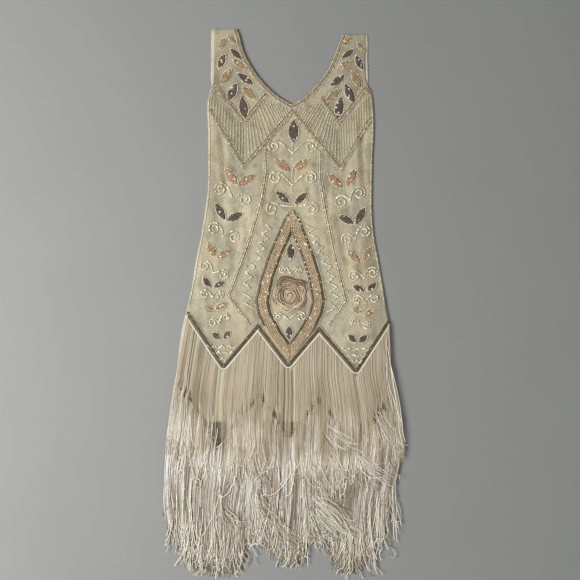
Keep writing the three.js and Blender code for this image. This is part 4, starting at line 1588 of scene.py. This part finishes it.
@dataclass
class Motifs:
    """Sequin leaves, curled scrolls, fans of rays and ladders in cream seed beads."""

    room: Workroom
    leaf_pitch: float = 3.3
    leaf_row: float = 3.6
    leaf_margin: float = 1.8
    leaf_inset: float = 4.5
    curl_lean: float = 28.0
    curl_turns: float = 1.45
    curl_shrink: float = 0.74
    curl_pull: float = 0.9
    festoon_tops: tuple[Numbers, ...] = ((-146, -92), (162, -98))
    festoon_rows: int = 3
    festoon_step: float = 14.0
    festoon_half: float = 33.0
    festoon_narrow: float = 11.0
    festoon_width: float = 15.0
    festoon_sag: float = 5.5
    seed_pitch: float = 3.1
    seed_width: float = 2.5
    seed_height: float = 1.8
    seed_uneven: float = 0.2
    bold_width: float = 3.5
    bold_uneven: float = 0.35
    leaves: tuple[Leaf, ...] = (
        # x, y, length, width, angle of the long axis in degrees, colour
        (-145, 600, 26, 11, 60, G), (-123, 608, 26, 10, -45, G), (-114, 575, 34, 12, -40, D),
        (-147, 558, 34, 14, 65, D), (-107, 552, 34, 12, -32, G), (-137, 523, 40, 16, 58, G),
        (-93, 518, 44, 14, -35, D), (-123, 487, 44, 17, 65, D), (-84, 485, 42, 15, -43, G),
        (-97, 451, 53, 18, -81, D),
        (172, 592, 26, 10, -50, G), (139, 604, 26, 10, 45, G), (142, 575, 33, 11, 37, D),
        (168, 555, 35, 14, -64, D), (133, 549, 34, 12, 30, G), (161, 517, 42, 15, -60, G),
        (118, 514, 42, 14, 37, D), (146, 484, 48, 17, -64, D), (109, 481, 40, 15, 40, G),
        (122, 451, 53, 18, 79, D),
        (17, 398, 53, 21, 90, D), (-7, 320, 45, 16, -38, G), (33, 320, 45, 15, 36, G),
        (-8, 247, 40, 14, -40, D), (34, 244, 38, 13, 42, D), (11, 122, 41, 16, 90, D),
        (7, -63, 30, 14, 90, D),
        (-125, 294, 46, 17, -54, G), (-91, 286, 47, 15, 30, G), (-150, 214, 44, 15, -60, D),
        (-117, 202, 40, 14, 25, D), (-170, 126, 34, 14, -62, G), (-143, 117, 34, 13, 30, G),
        (-181, 52, 26, 12, -50, D), (-153, 47, 24, 11, 25, D), (-177, -8, 24, 11, -30, G),
        (-150, -3, 24, 11, 28, G), (-160, -70, 21, 11, -30, D), (-135, -68, 21, 11, 50, D),
        (114, 284, 47, 15, -42, G), (150, 292, 48, 15, 62, G), (137, 196, 42, 14, -28, D),
        (170, 204, 44, 15, 62, D), (156, 111, 38, 14, -40, G), (187, 118, 38, 13, 55, G),
        (166, 38, 26, 12, -25, D), (196, 41, 26, 12, 40, D), (163, -11, 24, 11, -12, G),
        (191, -17, 24, 11, 30, G), (151, -76, 23, 11, -45, D), (176, -77, 23, 12, 40, D),
    )
    scroll_pairs: tuple[Numbers, ...] = (
        # left curl x and y, right curl x and y, meeting point x and y, radius
        (-28, 364, 57, 363, 15, 348, 15), (-24, 291, 56, 291, 14, 274, 15),
        (-32, 220, 60, 220, 14, 226, 15), (-150, 265, -95, 241, -124, 246, 15),
        (-164, 175, -119, 156, -144, 158, 14), (-186, 90, -143, 69, -167, 74, 12),
        (-186, 25, -151, 23, -169, 17, 10), (-167, -40, -137, -26, -152, -41, 9),
        (126, 236, 168, 256, 146, 238, 15), (139, 150, 180, 168, 158, 150, 14),
        (156, 66, 199, 74, 178, 61, 13), (163, 12, 201, 14, 182, 5, 10),
        (154, -37, 184, -47, 168, -50, 9), (-7, 81, 28, 78, 10, 72, 9), (-19, -28, 34, -26, 6, -34, 11),
    )
    ladder_spines: tuple[tuple[Numbers, ...], ...] = (
        ((-38, 186), (-44, 170), (-55, 138), (-64, 113), (-76, 92), (-86, 69), (-90, 41), (-89, 16),
         (-80, -12)),
        ((50, 186), (57, 168), (74, 138), (85, 113), (94, 90), (103, 62), (108, 34), (110, 9),
         (99, -23)),
    )
    ladder_half: float = 9.0
    ladder_pitch: float = 12.0
    fans: tuple[tuple, ...] = (
        # upper line, then lower line, each from the side seam to the neckline
        (((-174, 478), (-96, 408), (-49, 468), (2, 452)), ((-178, 440), (-97, 326), (-13, 400), (9, 430))),
        (((190, 478), (121, 406), (83, 462), (28, 452)), ((192, 422), (125, 322), (43, 398), (21, 430))),
    )
    ray_counts: tuple[int, ...] = (12, 10, 7)
    dots: tuple[tuple[Numbers, Numbers], ...] = (
        ((15, 372), (14, 352)), ((14, 345), (14, 333)), ((13, 270), (13, 258)), ((14, 312), (14, 280)))

    def leaf_edge(self, leaf: Leaf) -> Points:
        """Return the path round a leaf, a little outside its pointed outline.

        Args:
            leaf: The leaf.

        Returns:
            The path.
        """
        x, y, length, width, angle, _ = leaf
        t = np.linspace(0, 1, 15)
        half = (width / 2 + self.leaf_margin) * np.sin(t * math.pi) ** 0.85
        along = (t - 0.5) * (length + 2 * self.leaf_margin)
        ring = np.concatenate([np.stack([along, half], 1), np.stack([along[::-1], -half[::-1]], 1)[1:]])
        return self.turned(ring, x, y, angle)

    @staticmethod
    def turned(path: Points, x: float, y: float, angle: float) -> Points:
        """Return a path turned about its origin and moved to a place.

        Args:
            path: The path.
            x: Where its origin comes, across.
            y: Where its origin comes, along.
            angle: The turn, in degrees.

        Returns:
            The path's new points.
        """
        a = math.radians(angle)
        turn = np.array([[math.cos(a), math.sin(a)], [-math.sin(a), math.cos(a)]])
        return path @ turn + np.array([x, y])

    def leaf_rows(self, leaf: Leaf) -> list[Points]:
        """Return the rows of sequins that fill a leaf.

        Args:
            leaf: The leaf.

        Returns:
            The rows, bowed towards the leaf's two points.
        """
        x, y, length, width, angle, _ = leaf
        rows = []
        count = max(2, round(width / self.leaf_row))
        for k in range(count):
            offset = (k - (count - 1) / 2) * (width - self.leaf_inset) / max(count - 1, 1)
            share = abs(2 * offset / width)
            reach = (length / 2 - 2) * (1 - math.asin(min(share, 1)) / (math.pi / 2))
            if reach > 2:
                t = np.linspace(-reach, reach, 8)
                bend = offset * np.cos(t / (length / 2) * math.pi / 2)
                rows.append(self.turned(np.stack([t, bend], 1), x, y, angle))
        return rows

    def scroll(self, centre: Numbers, meet: Numbers, radius: float, sign: int) -> Points:
        """Return one curl: a tail from the meeting point that winds inwards.

        Args:
            centre: The middle of the curl.
            meet: Where the pair meets.
            radius: The curl's outer radius.
            sign: 1 for the left curl of a pair and -1 for the right.

        Returns:
            The path.
        """
        t = np.linspace(0, 1, 40)
        start = math.radians(90 - sign * self.curl_lean)
        angle = start + sign * t * math.tau * self.curl_turns
        size = radius * (1 - self.curl_shrink * t)
        coil = np.stack([centre[0] + size * np.cos(angle), centre[1] + size * np.sin(angle)], 1)
        tangent = np.array([-math.sin(start), math.cos(start)]) * sign
        control = coil[0] - tangent * radius * self.curl_pull
        s = np.linspace(0, 1, 8, endpoint=False)[:, None]
        tail = (1 - s) ** 2 * np.array(meet, dtype=float) + 2 * s * (1 - s) * control + s ** 2 * coil[0]
        return np.vstack([tail, coil])

    def rays(self, legs: slice) -> list[Points]:
        """Return rays between the shoulder and the bust chevrons.

        Args:
            legs: Which parts of the two fans, from the side seam to the neckline.

        Returns:
            The rays.
        """
        rows = []
        for upper, lower in self.fans:
            parts = list(zip(zip(upper[:-1], upper[1:]), zip(lower[:-1], lower[1:]), self.ray_counts))
            for (a, b), (c, d), count in parts[legs]:
                for k in range(count):
                    t = (k + 0.5) / count
                    top = np.array(a) + (np.array(b) - np.array(a)) * t
                    low = np.array(c) + (np.array(d) - np.array(c)) * t
                    rows.append(corners([top, low], 8))
        return rows

    def ladders(self) -> list[Points]:
        """Return the two zigzag ladders beside the pointed oval.

        Returns:
            One path for each ladder.
        """
        rows = []
        for points in self.ladder_spines:
            spine = curve(points, 2)
            lengths = np.concatenate([[0], np.cumsum(np.linalg.norm(np.diff(spine, axis=0), axis=1))])
            stops = np.arange(0, lengths[-1], self.ladder_pitch)
            x, y = np.interp(stops, lengths, spine[:, 0]), np.interp(stops, lengths, spine[:, 1])
            side = self.ladder_half * np.where(np.arange(len(stops)) % 2, 1, -1)
            rows.append(corners(np.stack([x + side, y], 1), 5))
        return rows

    def festoons(self) -> list[Points]:
        """Return the small scallops in the points of the hip zigzag.

        Returns:
            The rows, the widest first on each side.
        """
        rows = []
        for centre, top in self.festoon_tops:
            for k in range(self.festoon_rows):
                y = top - self.festoon_step * k
                half = self.festoon_half - self.festoon_narrow * k
                count = max(2, round(2 * half / self.festoon_width))
                t = np.linspace(0, 1, 8 * count + 1)
                sag = self.festoon_sag * np.abs(np.sin(t * count * math.pi))
                rows.append(np.stack([centre - half + 2 * half * t, y - sag], 1))
        return rows

    def stems(self) -> list[Points]:
        """Return the dotted stems on the centre line and the rows along the side seams.

        Returns:
            The paths.
        """
        y = np.linspace(474, 2, 90)
        return [corners(dots, 5) for dots in self.dots] + [
            np.stack([FRONT_OUTLINE.smooth(y, name) + inset, y], 1)
            for name, inset in (("left", 3.5), ("right", -3.5))]

    def build(self) -> None:
        """Sew every motif."""
        for colour, finish, slot, seed in (
                (D, "dark_sequins", "dark_sequins", 21), (G, "copper_gold_sequins", "gold_sequins", 22)):
            rows = [row for leaf in self.leaves if leaf[-1] is colour for row in self.leaf_rows(leaf)]
            self.room.sew(Stitch(f"leaves_{colour.value}", Bead.CUP, self.leaf_pitch, 5.2, 1.0, finish, slot,
                                 0.8, 0.09, seed), rows)
        scrolls = [path for ax, ay, bx, by, mx, my, radius in self.scroll_pairs
                   for path in (self.scroll((ax, ay), (mx, my), radius, 1),
                                self.scroll((bx, by), (mx, my), radius, -1))]
        fine, bold = (self.seed_width, self.seed_uneven), (self.bold_width, self.bold_uneven)
        for seed, (name, finish, (width, uneven), rows) in enumerate((
                ("leaf_outlines", "cream_seed_beads", fine, [self.leaf_edge(leaf) for leaf in self.leaves]),
                ("curled_scrolls", "scroll_beads", bold, scrolls),
                ("fans_of_rays", "ray_thread", fine, self.rays(slice(1, 3))),
                ("faint_rays", "faint_ray_thread", fine, self.rays(slice(0, 1))),
                ("ladders", "scroll_beads", bold, self.ladders() + self.festoons()),
                ("stems", "cream_seed_beads", fine, self.stems())), 31):
            self.room.sew(Stitch(name, Bead.ROUND, self.seed_pitch, width, self.seed_height, finish, "net",
                                 seed=seed, uneven=uneven), rows)


FRINGE_OUTLINE = Table("y left right", [
    (-17, -224, 233), (-102, -240, 237), (-162, -250, 241), (-203, -258, 250), (-245, -264, 257),
    (-300, -270, 263), (-355, -274, 265), (-410, -277, 259), (-465, -280, 253), (-520, -279, 248),
    (-640, -272, 240),
])
HIP_ENDS = Table("share y", [
    (0, -345), (0.1, -392), (0.28, -418), (0.45, -400), (0.62, -422), (0.85, -430), (1, -352),
])
HEM_ENDS = Table("share y", [
    (0, -537), (0.034, -572), (0.078, -604), (0.134, -622), (0.263, -627), (0.315, -614),
    (0.353, -562), (0.405, -551), (0.457, -569), (0.5, -597), (0.565, -610), (0.603, -597),
    (0.638, -560), (0.728, -558), (0.763, -606), (0.8, -628), (0.879, -621), (0.931, -572),
    (0.974, -546), (1, -516),
])
HIP_FRONT_LIE = Table("y z", [
    (0, 7.9), (-120, 7.9), (-185, 8.9), (-335, 8.9), (-425, 5.4), (-475, 3.7), (-640, 3.7)])
HEM_FRONT_LIE = Table("y z", [(0, 6.4), (-335, 6.4), (-425, 3.9), (-475, 2.2), (-640, 2.2)])
HIP_BACK_LIE = Table("y z", [(0, 0.6), (-640, 0.6)])
HEM_BACK_LIE = Table("y z", [(0, 2.3), (-425, 2.3), (-475, 0.6), (-640, 0.6)])
MIDDLE_ENDS = Table("share y", [(0, -500), (1, -500)])
LOCK_CONTRAST = Table("y by", [(-180, 0.9), (-400, 0.9), (-480, 0.6), (-640, 0.6)])
SILK_CONTRAST = Table("y by", [(0, 0.1), (-230, 0.12), (-300, 0.7), (-440, 1.0)])
LOOSE_CONTRAST = Table("y by", [(0, 0.7), (-640, 0.7)])


@dataclass(frozen=True)
class Tier:
    """One tier of fringe: where it hangs from, how it lies and how full it is."""

    name: str
    node: str
    zigzag: Sequence[Numbers]
    gap: float
    lie: Table
    ends: Table
    locks: int
    threads: int
    points: int
    lock_width: float
    lock_depth: float
    thread_width: float
    wave: float
    hook: float
    uneven: float
    splay: float
    seed: int
    finish: str = "silk_fringe"
    contrast: Table = LOCK_CONTRAST


@dataclass(frozen=True)
class Curls:
    """Loose strands that curl at their ends, by how many, how placed and how long they are."""

    count: int
    margin: float
    left: float
    width: float
    ends: Table
    ends_by: Numbers
    length: Numbers
    height: Numbers


@dataclass
class Fringe:
    """The four tiers of fringe, their corded headers and the tangled ends on top."""

    room: Workroom
    header_radius: float = 0.75
    header_pitch: float = 4.0
    hip_header_lift: float = 1.9
    hem_header_level: float = 6.6
    valley_depth: float = 0.9
    loose_glow: float = 0.4
    end_spread: float = 9.0
    end_side: float = 7.0
    loose_from: float = -120.0
    loose_over: float = 250.0
    bend: float = 5.0
    bend_length: float = 150.0
    curl_from: float = 0.7
    curl_side: float = 17.0
    loop_chance: float = 0.3
    sweep_stray: float = 6.0
    patch_count: int = 80
    seam_left: float = -276.0
    seam_right: float = 262.0
    lights: tuple[Numbers, ...] = (
        # middle x and y, half width, half height, strength of the painted sheen highlights
        (-232, -288, 28, 30, 1.7), (-258, -250, 16, 50, 1.0), (-245, -385, 28, 45, 1.1),
        (-180, -362, 42, 22, 1.7), (-150, -390, 50, 24, 0.5), (55, -362, 46, 20, 1.3),
        (152, -268, 26, 20, 0.9), (146, -364, 60, 18, 1.0), (-30, -366, 60, 18, 0.8),
        (205, -300, 18, 26, 0.5), (-80, -300, 34, 30, 0.6), (-236, -200, 12, 40, 0.4),
        (-230, -500, 26, 60, 0.4), (-258, -545, 18, 44, 1.0), (-210, -590, 40, 40, 0.4),
        (-262, -300, 14, 50, 1.0), (-223, -343, 14, 14, 0.8), (-191, -440, 12, 60, 0.5),
        (195, -380, 12, 60, 0.5), (130, -160, 70, 50, 0.15), (-230, -70, 7, 60, 0.35),
        (-78, -150, 20, 50, 0.3), (67, -130, 14, 50, 0.3), (163, -136, 10, 30, 0.3),
        (-203, -360, 34, 30, 0.4),
    )
    valleys: tuple[Numbers, ...] = (
        # middle x and y, half width, half height, strength of the shaded valleys
        (-66, -215, 10, 60, 0.8), (78, -215, 10, 60, 0.8), (-207, -195, 13, 34, 1.0),
        (206, -200, 9, 50, 0.5), (70, -520, 12, 40, 0.6), (-95, -520, 12, 36, 0.5),
        (-140, -430, 10, 50, 0.4), (-40, -440, 9, 50, 0.4), (110, -420, 10, 40, 0.4),
        (20, -500, 9, 50, 0.4), (-159, -550, 8, 20, 0.5), (0, -600, 400, 60, 0.45),
        (238, -400, 16, 110, 0.6), (226, -150, 12, 80, 0.6), (150, -590, 60, 40, 0.4),
        (-190, -215, 20, 30, 0.5), (-150, -210, 40, 16, 0.3), (-196, -120, 10, 60, 0.5),
        (120, -470, 34, 40, 0.7), (150, -430, 30, 30, 0.4), (232, -240, 14, 90, 0.5),
        (18, -218, 18, 24, 0.3), (-150, -480, 28, 50, 0.3), (200, -500, 30, 60, 0.3),
        (140, -330, 30, 16, 0.5), (-150, -300, 16, 26, 0.8), (8, -290, 12, 22, 0.8),
        (198, -262, 12, 22, 0.8), (60, -560, 40, 40, 0.4), (-212, -118, 20, 55, 0.35),
        (-253, -426, 20, 50, 0.3), (123, -380, 35, 35, 0.25), (-14, -415, 28, 40, 0.2),
        (8, -202, 16, 60, 0.25), (246, -520, 20, 50, 0.3), (-190, -100, 12, 24, 0.5),
    )
    tiers: tuple[Tier, ...] = (
        Tier("hip_fringe_back_silk", "hip_fringe_back", HIP_ZIGZAG, 0.0, HIP_BACK_LIE, HIP_ENDS,
             80, 8, 8, 9, 0.7, 1.4, 8, 3, 0.1, 1.2, 51),
        Tier("hem_fringe_back_silk", "hem_fringe_back", HEM_ZIGZAG, 3.3, HEM_BACK_LIE, HEM_ENDS,
             90, 8, 12, 9, 0.8, 1.5, 14, 6, 0.14, 1.3, 52),
        Tier("hem_fringe_front_silk", "hem_fringe_front", HEM_ZIGZAG, 3.3, HEM_FRONT_LIE, HEM_ENDS,
             210, 9, 14, 4.4, 1.7, 1.4, 13, 5, 0.18, 1.5, 53),
        Tier("hip_fringe_front_silk", "hip_fringe_front", HIP_ZIGZAG, 7.8, HIP_FRONT_LIE, HIP_ENDS,
             520, 3, 20, 1.7, 1.2, 0.8, 9, 5, 0.16, 3.2, 54, "silk_fringe_warm", SILK_CONTRAST),
    )
    loose_tier: Tier = Tier(
        "fringe_tangles", "", (), 0, HEM_FRONT_LIE, HEM_ENDS, 0, 1, 18, 0.1, 0.9, 1.45, 9, 4, 0.1, 1.0, 60,
        "silk_fringe_loose", LOOSE_CONTRAST)
    loose: tuple[Curls, ...] = (
        Curls(360, 0.01, -272, 528, HEM_ENDS, (-12, 36), (40, 150), (4.2, 6.4)),
        Curls(60, 0.0, -262, 512, MIDDLE_ENDS, (-60, 60), (60, 140), (4.2, 6.0)),
        Curls(130, 0.02, -262, 512, HIP_ENDS, (-40, 60), (40, 110), (8.4, 9.6)),
    )
    sparse: tuple[Numbers, ...] = (
        # middle x, half width, share of the locks left out
        (-146, 16, 0.95), (-14, 11, 0.6), (12, 10, 0.9), (-66, 8, 0.3), (-112, 7, 0.35), (160, 14, 0.4),
        (200, 13, 0.6), (118, 7, 0.3), (-199, 13, 0.6), (60, 8, 0.3),
    )
    sweeps: tuple[Numbers, ...] = (
        # start x and y, end x and y, half spread at both, bow, height, strands
        (60, -436, 156, -522, 7, 16, 9, 6.2, 44), (62, -458, 132, -540, 9, 20, -3, 5.8, 26),
        (58, -470, 100, -556, 12, 16, 2, 5.4, 14), (52, -524, 104, -520, 3, 6, -3, 6.6, 7),
        (84, -280, 170, -345, 14, 14, -3, 9.2, 12), (150, -330, 230, -412, 12, 16, -4, 8.0, 22),
        (96, -336, 140, -400, 14, 12, -3, 8.8, 10), (64, -400, 110, -470, 12, 14, -4, 6.6, 10),
        (222, -60, 262, -345, 5, 10, -7, 8.8, 9), (206, -236, 258, -335, 14, 12, -4, 8.4, 16),
        (-66, -424, -32, -490, 8, 9, -4, 6.0, 14), (-146, -463, -104, -516, 7, 9, -3, 5.8, 12),
        (-36, -476, 40, -562, 12, 14, -6, 5.8, 16),
    )
    partings: tuple[Numbers, ...] = (
        # middle x on the hem band, half width, how far the upper tier parts there
        (-243, 6, 7), (-232, 4, 4), (-221, 5, 6), (-206, 5, 5), (-187, 4, 4), (-175, 3, 3),
        (-110, 4, 4), (-97, 4, 3.5), (-87, 3, 3), (-76, 4, 4), (-50, 4, 4), (-38, 3, 3),
        (-25, 5, 6), (48, 5, 5.5), (60, 4, 3.5), (74, 5, 5), (99, 5, 5), (110, 3, 3),
        (203, 5, 6), (213, 6, 7), (225, 6, 7),
    )
    parting_reach: float = 15.0
    edge_reach: float = -0.004

    def lock(self, tier: Tier, share: float, rng: np.random.Generator) -> Points:
        """Return the path of one lock, from its root on the tape to its end.

        Args:
            tier: The tier that it belongs to.
            share: How far across the tape its root is, from the left.
            rng: What varies from lock to lock.

        Returns:
            The path's points.
        """
        tape = beside(np.array(tier.zigzag, dtype=float), -tier.gap)
        root_x = tape[0, 0] + (tape[-1, 0] - tape[0, 0]) * share
        root_y = float(np.interp(root_x, tape[:, 0], tape[:, 1]))
        end = float(tier.ends.straight(share, "y")) + rng.uniform(-self.end_spread, self.end_spread)
        along = np.linspace(0, 1, tier.points)
        y = root_y + (end - root_y) * (1 - (1 - along) ** 1.7)
        left, right = FRINGE_OUTLINE.smooth(y, "left"), FRINGE_OUTLINE.smooth(y, "right")
        at_root = (root_x - left[0]) / (right[0] - left[0])
        inside = float(np.clip(at_root, self.edge_reach, 1 - self.edge_reach))
        x = left + (right - left) * inside
        if tier.node == "hip_fringe_front":
            x = x + self.parted(x, y)
        loose = np.clip((self.loose_from - y) / self.loose_over, 0, 1)
        x = x + self.bend * np.sin(y / self.bend_length * math.pi + share * 9) * loose
        x = x + rng.normal(0, self.end_side) * along ** 3 * loose
        return np.stack([np.clip(x, left + 0.5, right - 0.5), y, tier.lie.straight(y, "z")], axis=1)

    def parted(self, x: Points, y: Points) -> Points:
        """Return how far aside the upper tier lies where it parts over the hem band.

        Args:
            x: Places across.
            y: Places along.

        Returns:
            The shift across at each place.
        """
        aside = np.zeros_like(x)
        for middle, half, push in self.partings:
            level = float(HEM_LINE.straight(middle, "y")) + 6
            away = x - middle
            near = np.exp(-(away / (2 * half)) ** 2 - ((y - level) / self.parting_reach) ** 2)
            aside = aside + push * np.tanh(away * 1.5) * near
        return aside

    def hang(self, tier: Tier) -> Piece:
        """Make one tier of threads.

        Args:
            tier: The tier.

        Returns:
            The object.
        """
        rng = np.random.default_rng(tier.seed)
        places = ((k + rng.uniform(-0.5, 0.5)) / (tier.locks - 1) for k in range(tier.locks))
        runs = [self.lock(tier, place, rng) for place in places]
        if tier.node == "hip_fringe_front":
            runs = [run for run in runs if rng.uniform() > sum(
                share * math.exp(-((run[0, 0] - x) / half) ** 2) for x, half, share in self.sparse)]
        return self.spin(tier, runs)

    def spin(self, tier: Tier, runs: list[Points], glow: float = 0.0) -> bpy.types.Object:
        """Fill lock paths with threads and dress them.

        Args:
            tier: How full and loose the locks are.
            runs: The locks' paths.
            glow: How much brighter than the rest the threads are.

        Returns:
            The object.
        """
        rng = np.random.default_rng(tier.seed + 100)
        patches = self.patches(np.random.default_rng(78)) if tier.node else ()
        piece = self.room.paths(tier.name, runs)
        # bright: a random tone for each lock, plus painted light and shade: the glow, the sheen highlights
        # and patches, less the shaded valleys
        self.room.number(piece, "bright", np.concatenate([
            glow + rng.normal(0, 1) * tier.contrast.straight(run[:, 1], "by")
            + soft_spots(self.lights + patches, run[:, 0], run[:, 1])
            - self.valley_depth * soft_spots(self.valleys, run[:, 0], run[:, 1]) for run in runs]))
        return self.room.threads.apply(piece, {
            "Threads": tier.threads, "Lock Width": tier.lock_width * MM, "Lock Depth": tier.lock_depth * MM,
            "Thread Width": tier.thread_width * MM, "Wave": tier.wave * MM, "Hook": tier.hook * MM,
            "Uneven": tier.uneven, "Splay": tier.splay, "Seed": tier.seed * 10,
            "Material": self.room.finish[tier.finish]})

    def patches(self, rng: np.random.Generator) -> tuple[Numbers, ...]:
        """Return small patches of painted light and painted shade over the middle of the fringe."""
        return tuple((rng.uniform(-265, 250), rng.uniform(-440, -290), rng.uniform(2.5, 5.5),
                      rng.uniform(14, 36), rng.choice([-1.15, 0.8])) for _ in range(self.patch_count))

    def header(self, name: str, zigzag: Sequence[Numbers], gap: float,
               laid: Callable[[Points], Points]) -> None:
        """Lay the two scalloped white cords that head a tier of fringe.

        Args:
            name: The piece's name.
            zigzag: The corners of the band above the tier.
            gap: How far below the band's middle line the cords lie.
            laid: Gives a plane path its heights.
        """
        middle = rounded(corners(zigzag, 2), 3)
        scallop = 0.5 * np.sin(np.arange(len(middle)) * 1.7)
        paths = [beside(middle, side * scallop - gap + side * self.header_radius)[1:-1] for side in (-1, 1)]
        self.room.cord(name, [laid(path) for path in paths], self.header_radius, self.header_pitch,
                       "white_cord", "fringe")

    def curl(self, x: float, high: float, low: float, z: float, rng: np.random.Generator) -> Points:
        """Return a loose strand that runs down and curls round at its end.

        Args:
            x: Where it starts across.
            high: The level where it starts.
            low: The level where it ends.
            z: Its height.
            rng: What varies from strand to strand.

        Returns:
            The path.
        """
        t = 1 - (1 - np.linspace(0, 1, 20)) ** 1.6
        hook = np.clip((t - self.curl_from) / (1 - self.curl_from), 0, 1)
        looped = rng.uniform() < self.loop_chance
        turn = rng.choice([-1, 1]) * (rng.uniform(4.5, 8.0) if looped else rng.uniform(0.4, 2.6))
        radius = rng.uniform(3, 8)
        across = x + rng.normal(0, self.curl_side) * t ** 1.5 + radius * np.sin(turn * hook)
        down = high + (low - high) * t + radius * (1 - np.cos(turn * hook))
        return np.stack([np.clip(across, self.seam_left, self.seam_right), down, z + 0 * t], axis=1)

    def swept(self, sweep: Numbers, rng: np.random.Generator) -> Points:
        """Return one bowed strand of a bundle that is swept across the fringe.

        Args:
            sweep: The bundle's start and end, its spread at both, its bow and its height.
            rng: What varies from strand to strand.

        Returns:
            The path.
        """
        x0, y0, x1, y1, spread0, spread1, bow, z = sweep
        way = np.array([x1 - x0, y1 - y0])
        aside = np.array([-way[1], way[0]]) / np.linalg.norm(way)
        place = rng.uniform(-1, 1)
        start = np.array([x0, y0]) + aside * place * spread0 + way * rng.uniform(0, 0.25)
        over = rng.normal(0, self.sweep_stray)
        stop = np.array([x1, y1]) + aside * (place * spread1 + over) + way * rng.uniform(-0.35, 0.12)
        t = np.linspace(0, 1, 16)[:, None]
        bend = bow + rng.normal(0, self.sweep_stray)
        path = start + (stop - start) * t + aside * bend * np.sin(math.pi * t)
        path = path + aside * (rng.normal(0, 7) * t ** 3 + rng.normal(0, 2) * np.sin(t * 8 + place * 3) * t)
        return np.column_stack([path, z + rng.uniform(0, 2) + 0 * t])

    def tangles(self) -> Piece:
        """Make the loose, curled and looped ends and the swept bundles on top of both tiers.

        Returns:
            The object.
        """
        rng = np.random.default_rng(77)
        runs = []
        for kind in self.loose:
            for _ in range(kind.count):
                share = rng.uniform(kind.margin, 1 - kind.margin)
                low = float(kind.ends.straight(share, "y")) + rng.uniform(*kind.ends_by)
                high = low + rng.uniform(*kind.length)
                runs.append(self.curl(kind.left + kind.width * share, high, low,
                                      rng.uniform(*kind.height), rng))
        for *sweep, count in self.sweeps:
            runs += [self.swept(sweep, rng) for _ in range(count)]
        return self.spin(self.loose_tier, runs, self.loose_glow)

    def build(self) -> None:
        """Make the tiers, the tangles and the headers."""
        for tier in self.tiers:
            self.room.hand_in(self.hang(tier), "fringe", [tier.node])
        self.room.hand_in(self.tangles(), "fringe")
        self.header("hip_fringe_header", HIP_ZIGZAG, 7.3, lambda path: on_front(path, self.hip_header_lift))
        self.header("hem_fringe_header", HEM_ZIGZAG, 3.3,
                    lambda path: np.column_stack([path, np.full(len(path), self.hem_header_level)]))


@dataclass
class Studio:
    """The pale floor, the soft lights and the camera straight above."""

    room: Workroom
    floor_size: float = 8.0
    camera_height: float = 1.15
    frame_height: float = 1.334
    look_x: float = 9.0
    look_y: float = 34.5
    sensor: float = 36.0
    target: Numbers = (0, -0.1, 0)
    lamps: tuple[tuple, ...] = (
        # name, place, size, power, colour
        ("window", (-2.2, -0.2, 1.85), 1.2, 116.0, (1.0, 0.985, 0.955)),
        ("fill", (1.6, -1.8, 3.2), 2.4, 24.0, (0.98, 0.985, 1.0)),
    )
    sky: Numbers = (0.95, 0.97, 1.0)
    sky_strength: float = 0.3

    def build(self) -> None:
        """Make the floor, the lights and the camera."""
        scene = bpy.context.scene
        half = self.floor_size / 2
        data = bpy.data.meshes.new("floor")
        corner_points = [(-half, -half, 0), (half, -half, 0), (half, half, 0), (-half, half, 0)]
        data.from_pydata(corner_points, [], [(0, 1, 2, 3)])
        data.materials.append(self.room.finish["pale_floor"])
        self.put("floor", data, (0, 0, 0))
        for name, place, size, power, colour in self.lamps:
            lamp = bpy.data.lights.new(name, "AREA")
            lamp.size, lamp.energy, lamp.color = size, power, colour
            way = np.array(self.target) - np.array(place)
            tilt = math.atan2(math.hypot(way[0], way[1]), -way[2])
            turn = math.atan2(way[1], way[0]) - math.pi / 2
            self.put(name, lamp, place).rotation_euler = (tilt, 0, turn)
        scene.world = bpy.data.worlds.new("soft_room")
        scene.world.use_nodes = True
        background = scene.world.node_tree.nodes["Background"].inputs
        background["Color"].default_value = (*self.sky, 1)
        background["Strength"].default_value = self.sky_strength
        scene.view_settings.view_transform = "Standard"
        lens = bpy.data.cameras.new("camera")
        lens.sensor_width = self.sensor
        lens.lens = self.sensor * self.camera_height / self.frame_height
        x, y = self.look_x + self.room.shift[0], self.look_y + self.room.shift[1]
        scene.camera = self.put("camera", lens, (x * MM, y * MM, self.camera_height))

    @staticmethod
    def put(name: str, data: bpy.types.ID, place: Numbers) -> Piece:
        """Add an object to the scene.

        Args:
            name: The object's name.
            data: Its mesh, lamp or lens.
            place: Where it stands, in metres.

        Returns:
            The object.
        """
        made = bpy.data.objects.new(name, data)
        made.location = place
        bpy.context.scene.collection.objects.link(made)
        return made


def main() -> None:
    """Build the dress from its cloth outwards, then the studio."""
    logging.basicConfig(level=logging.INFO, format="%(name)s %(message)s")
    room = Workroom()
    cloth = Cloth(room)
    for part in (cloth, Bands(room), Oval(room), Motifs(room), Fringe(room)):
        part.build()
    Studio(room).build()


if __name__ == "__main__":
    main()
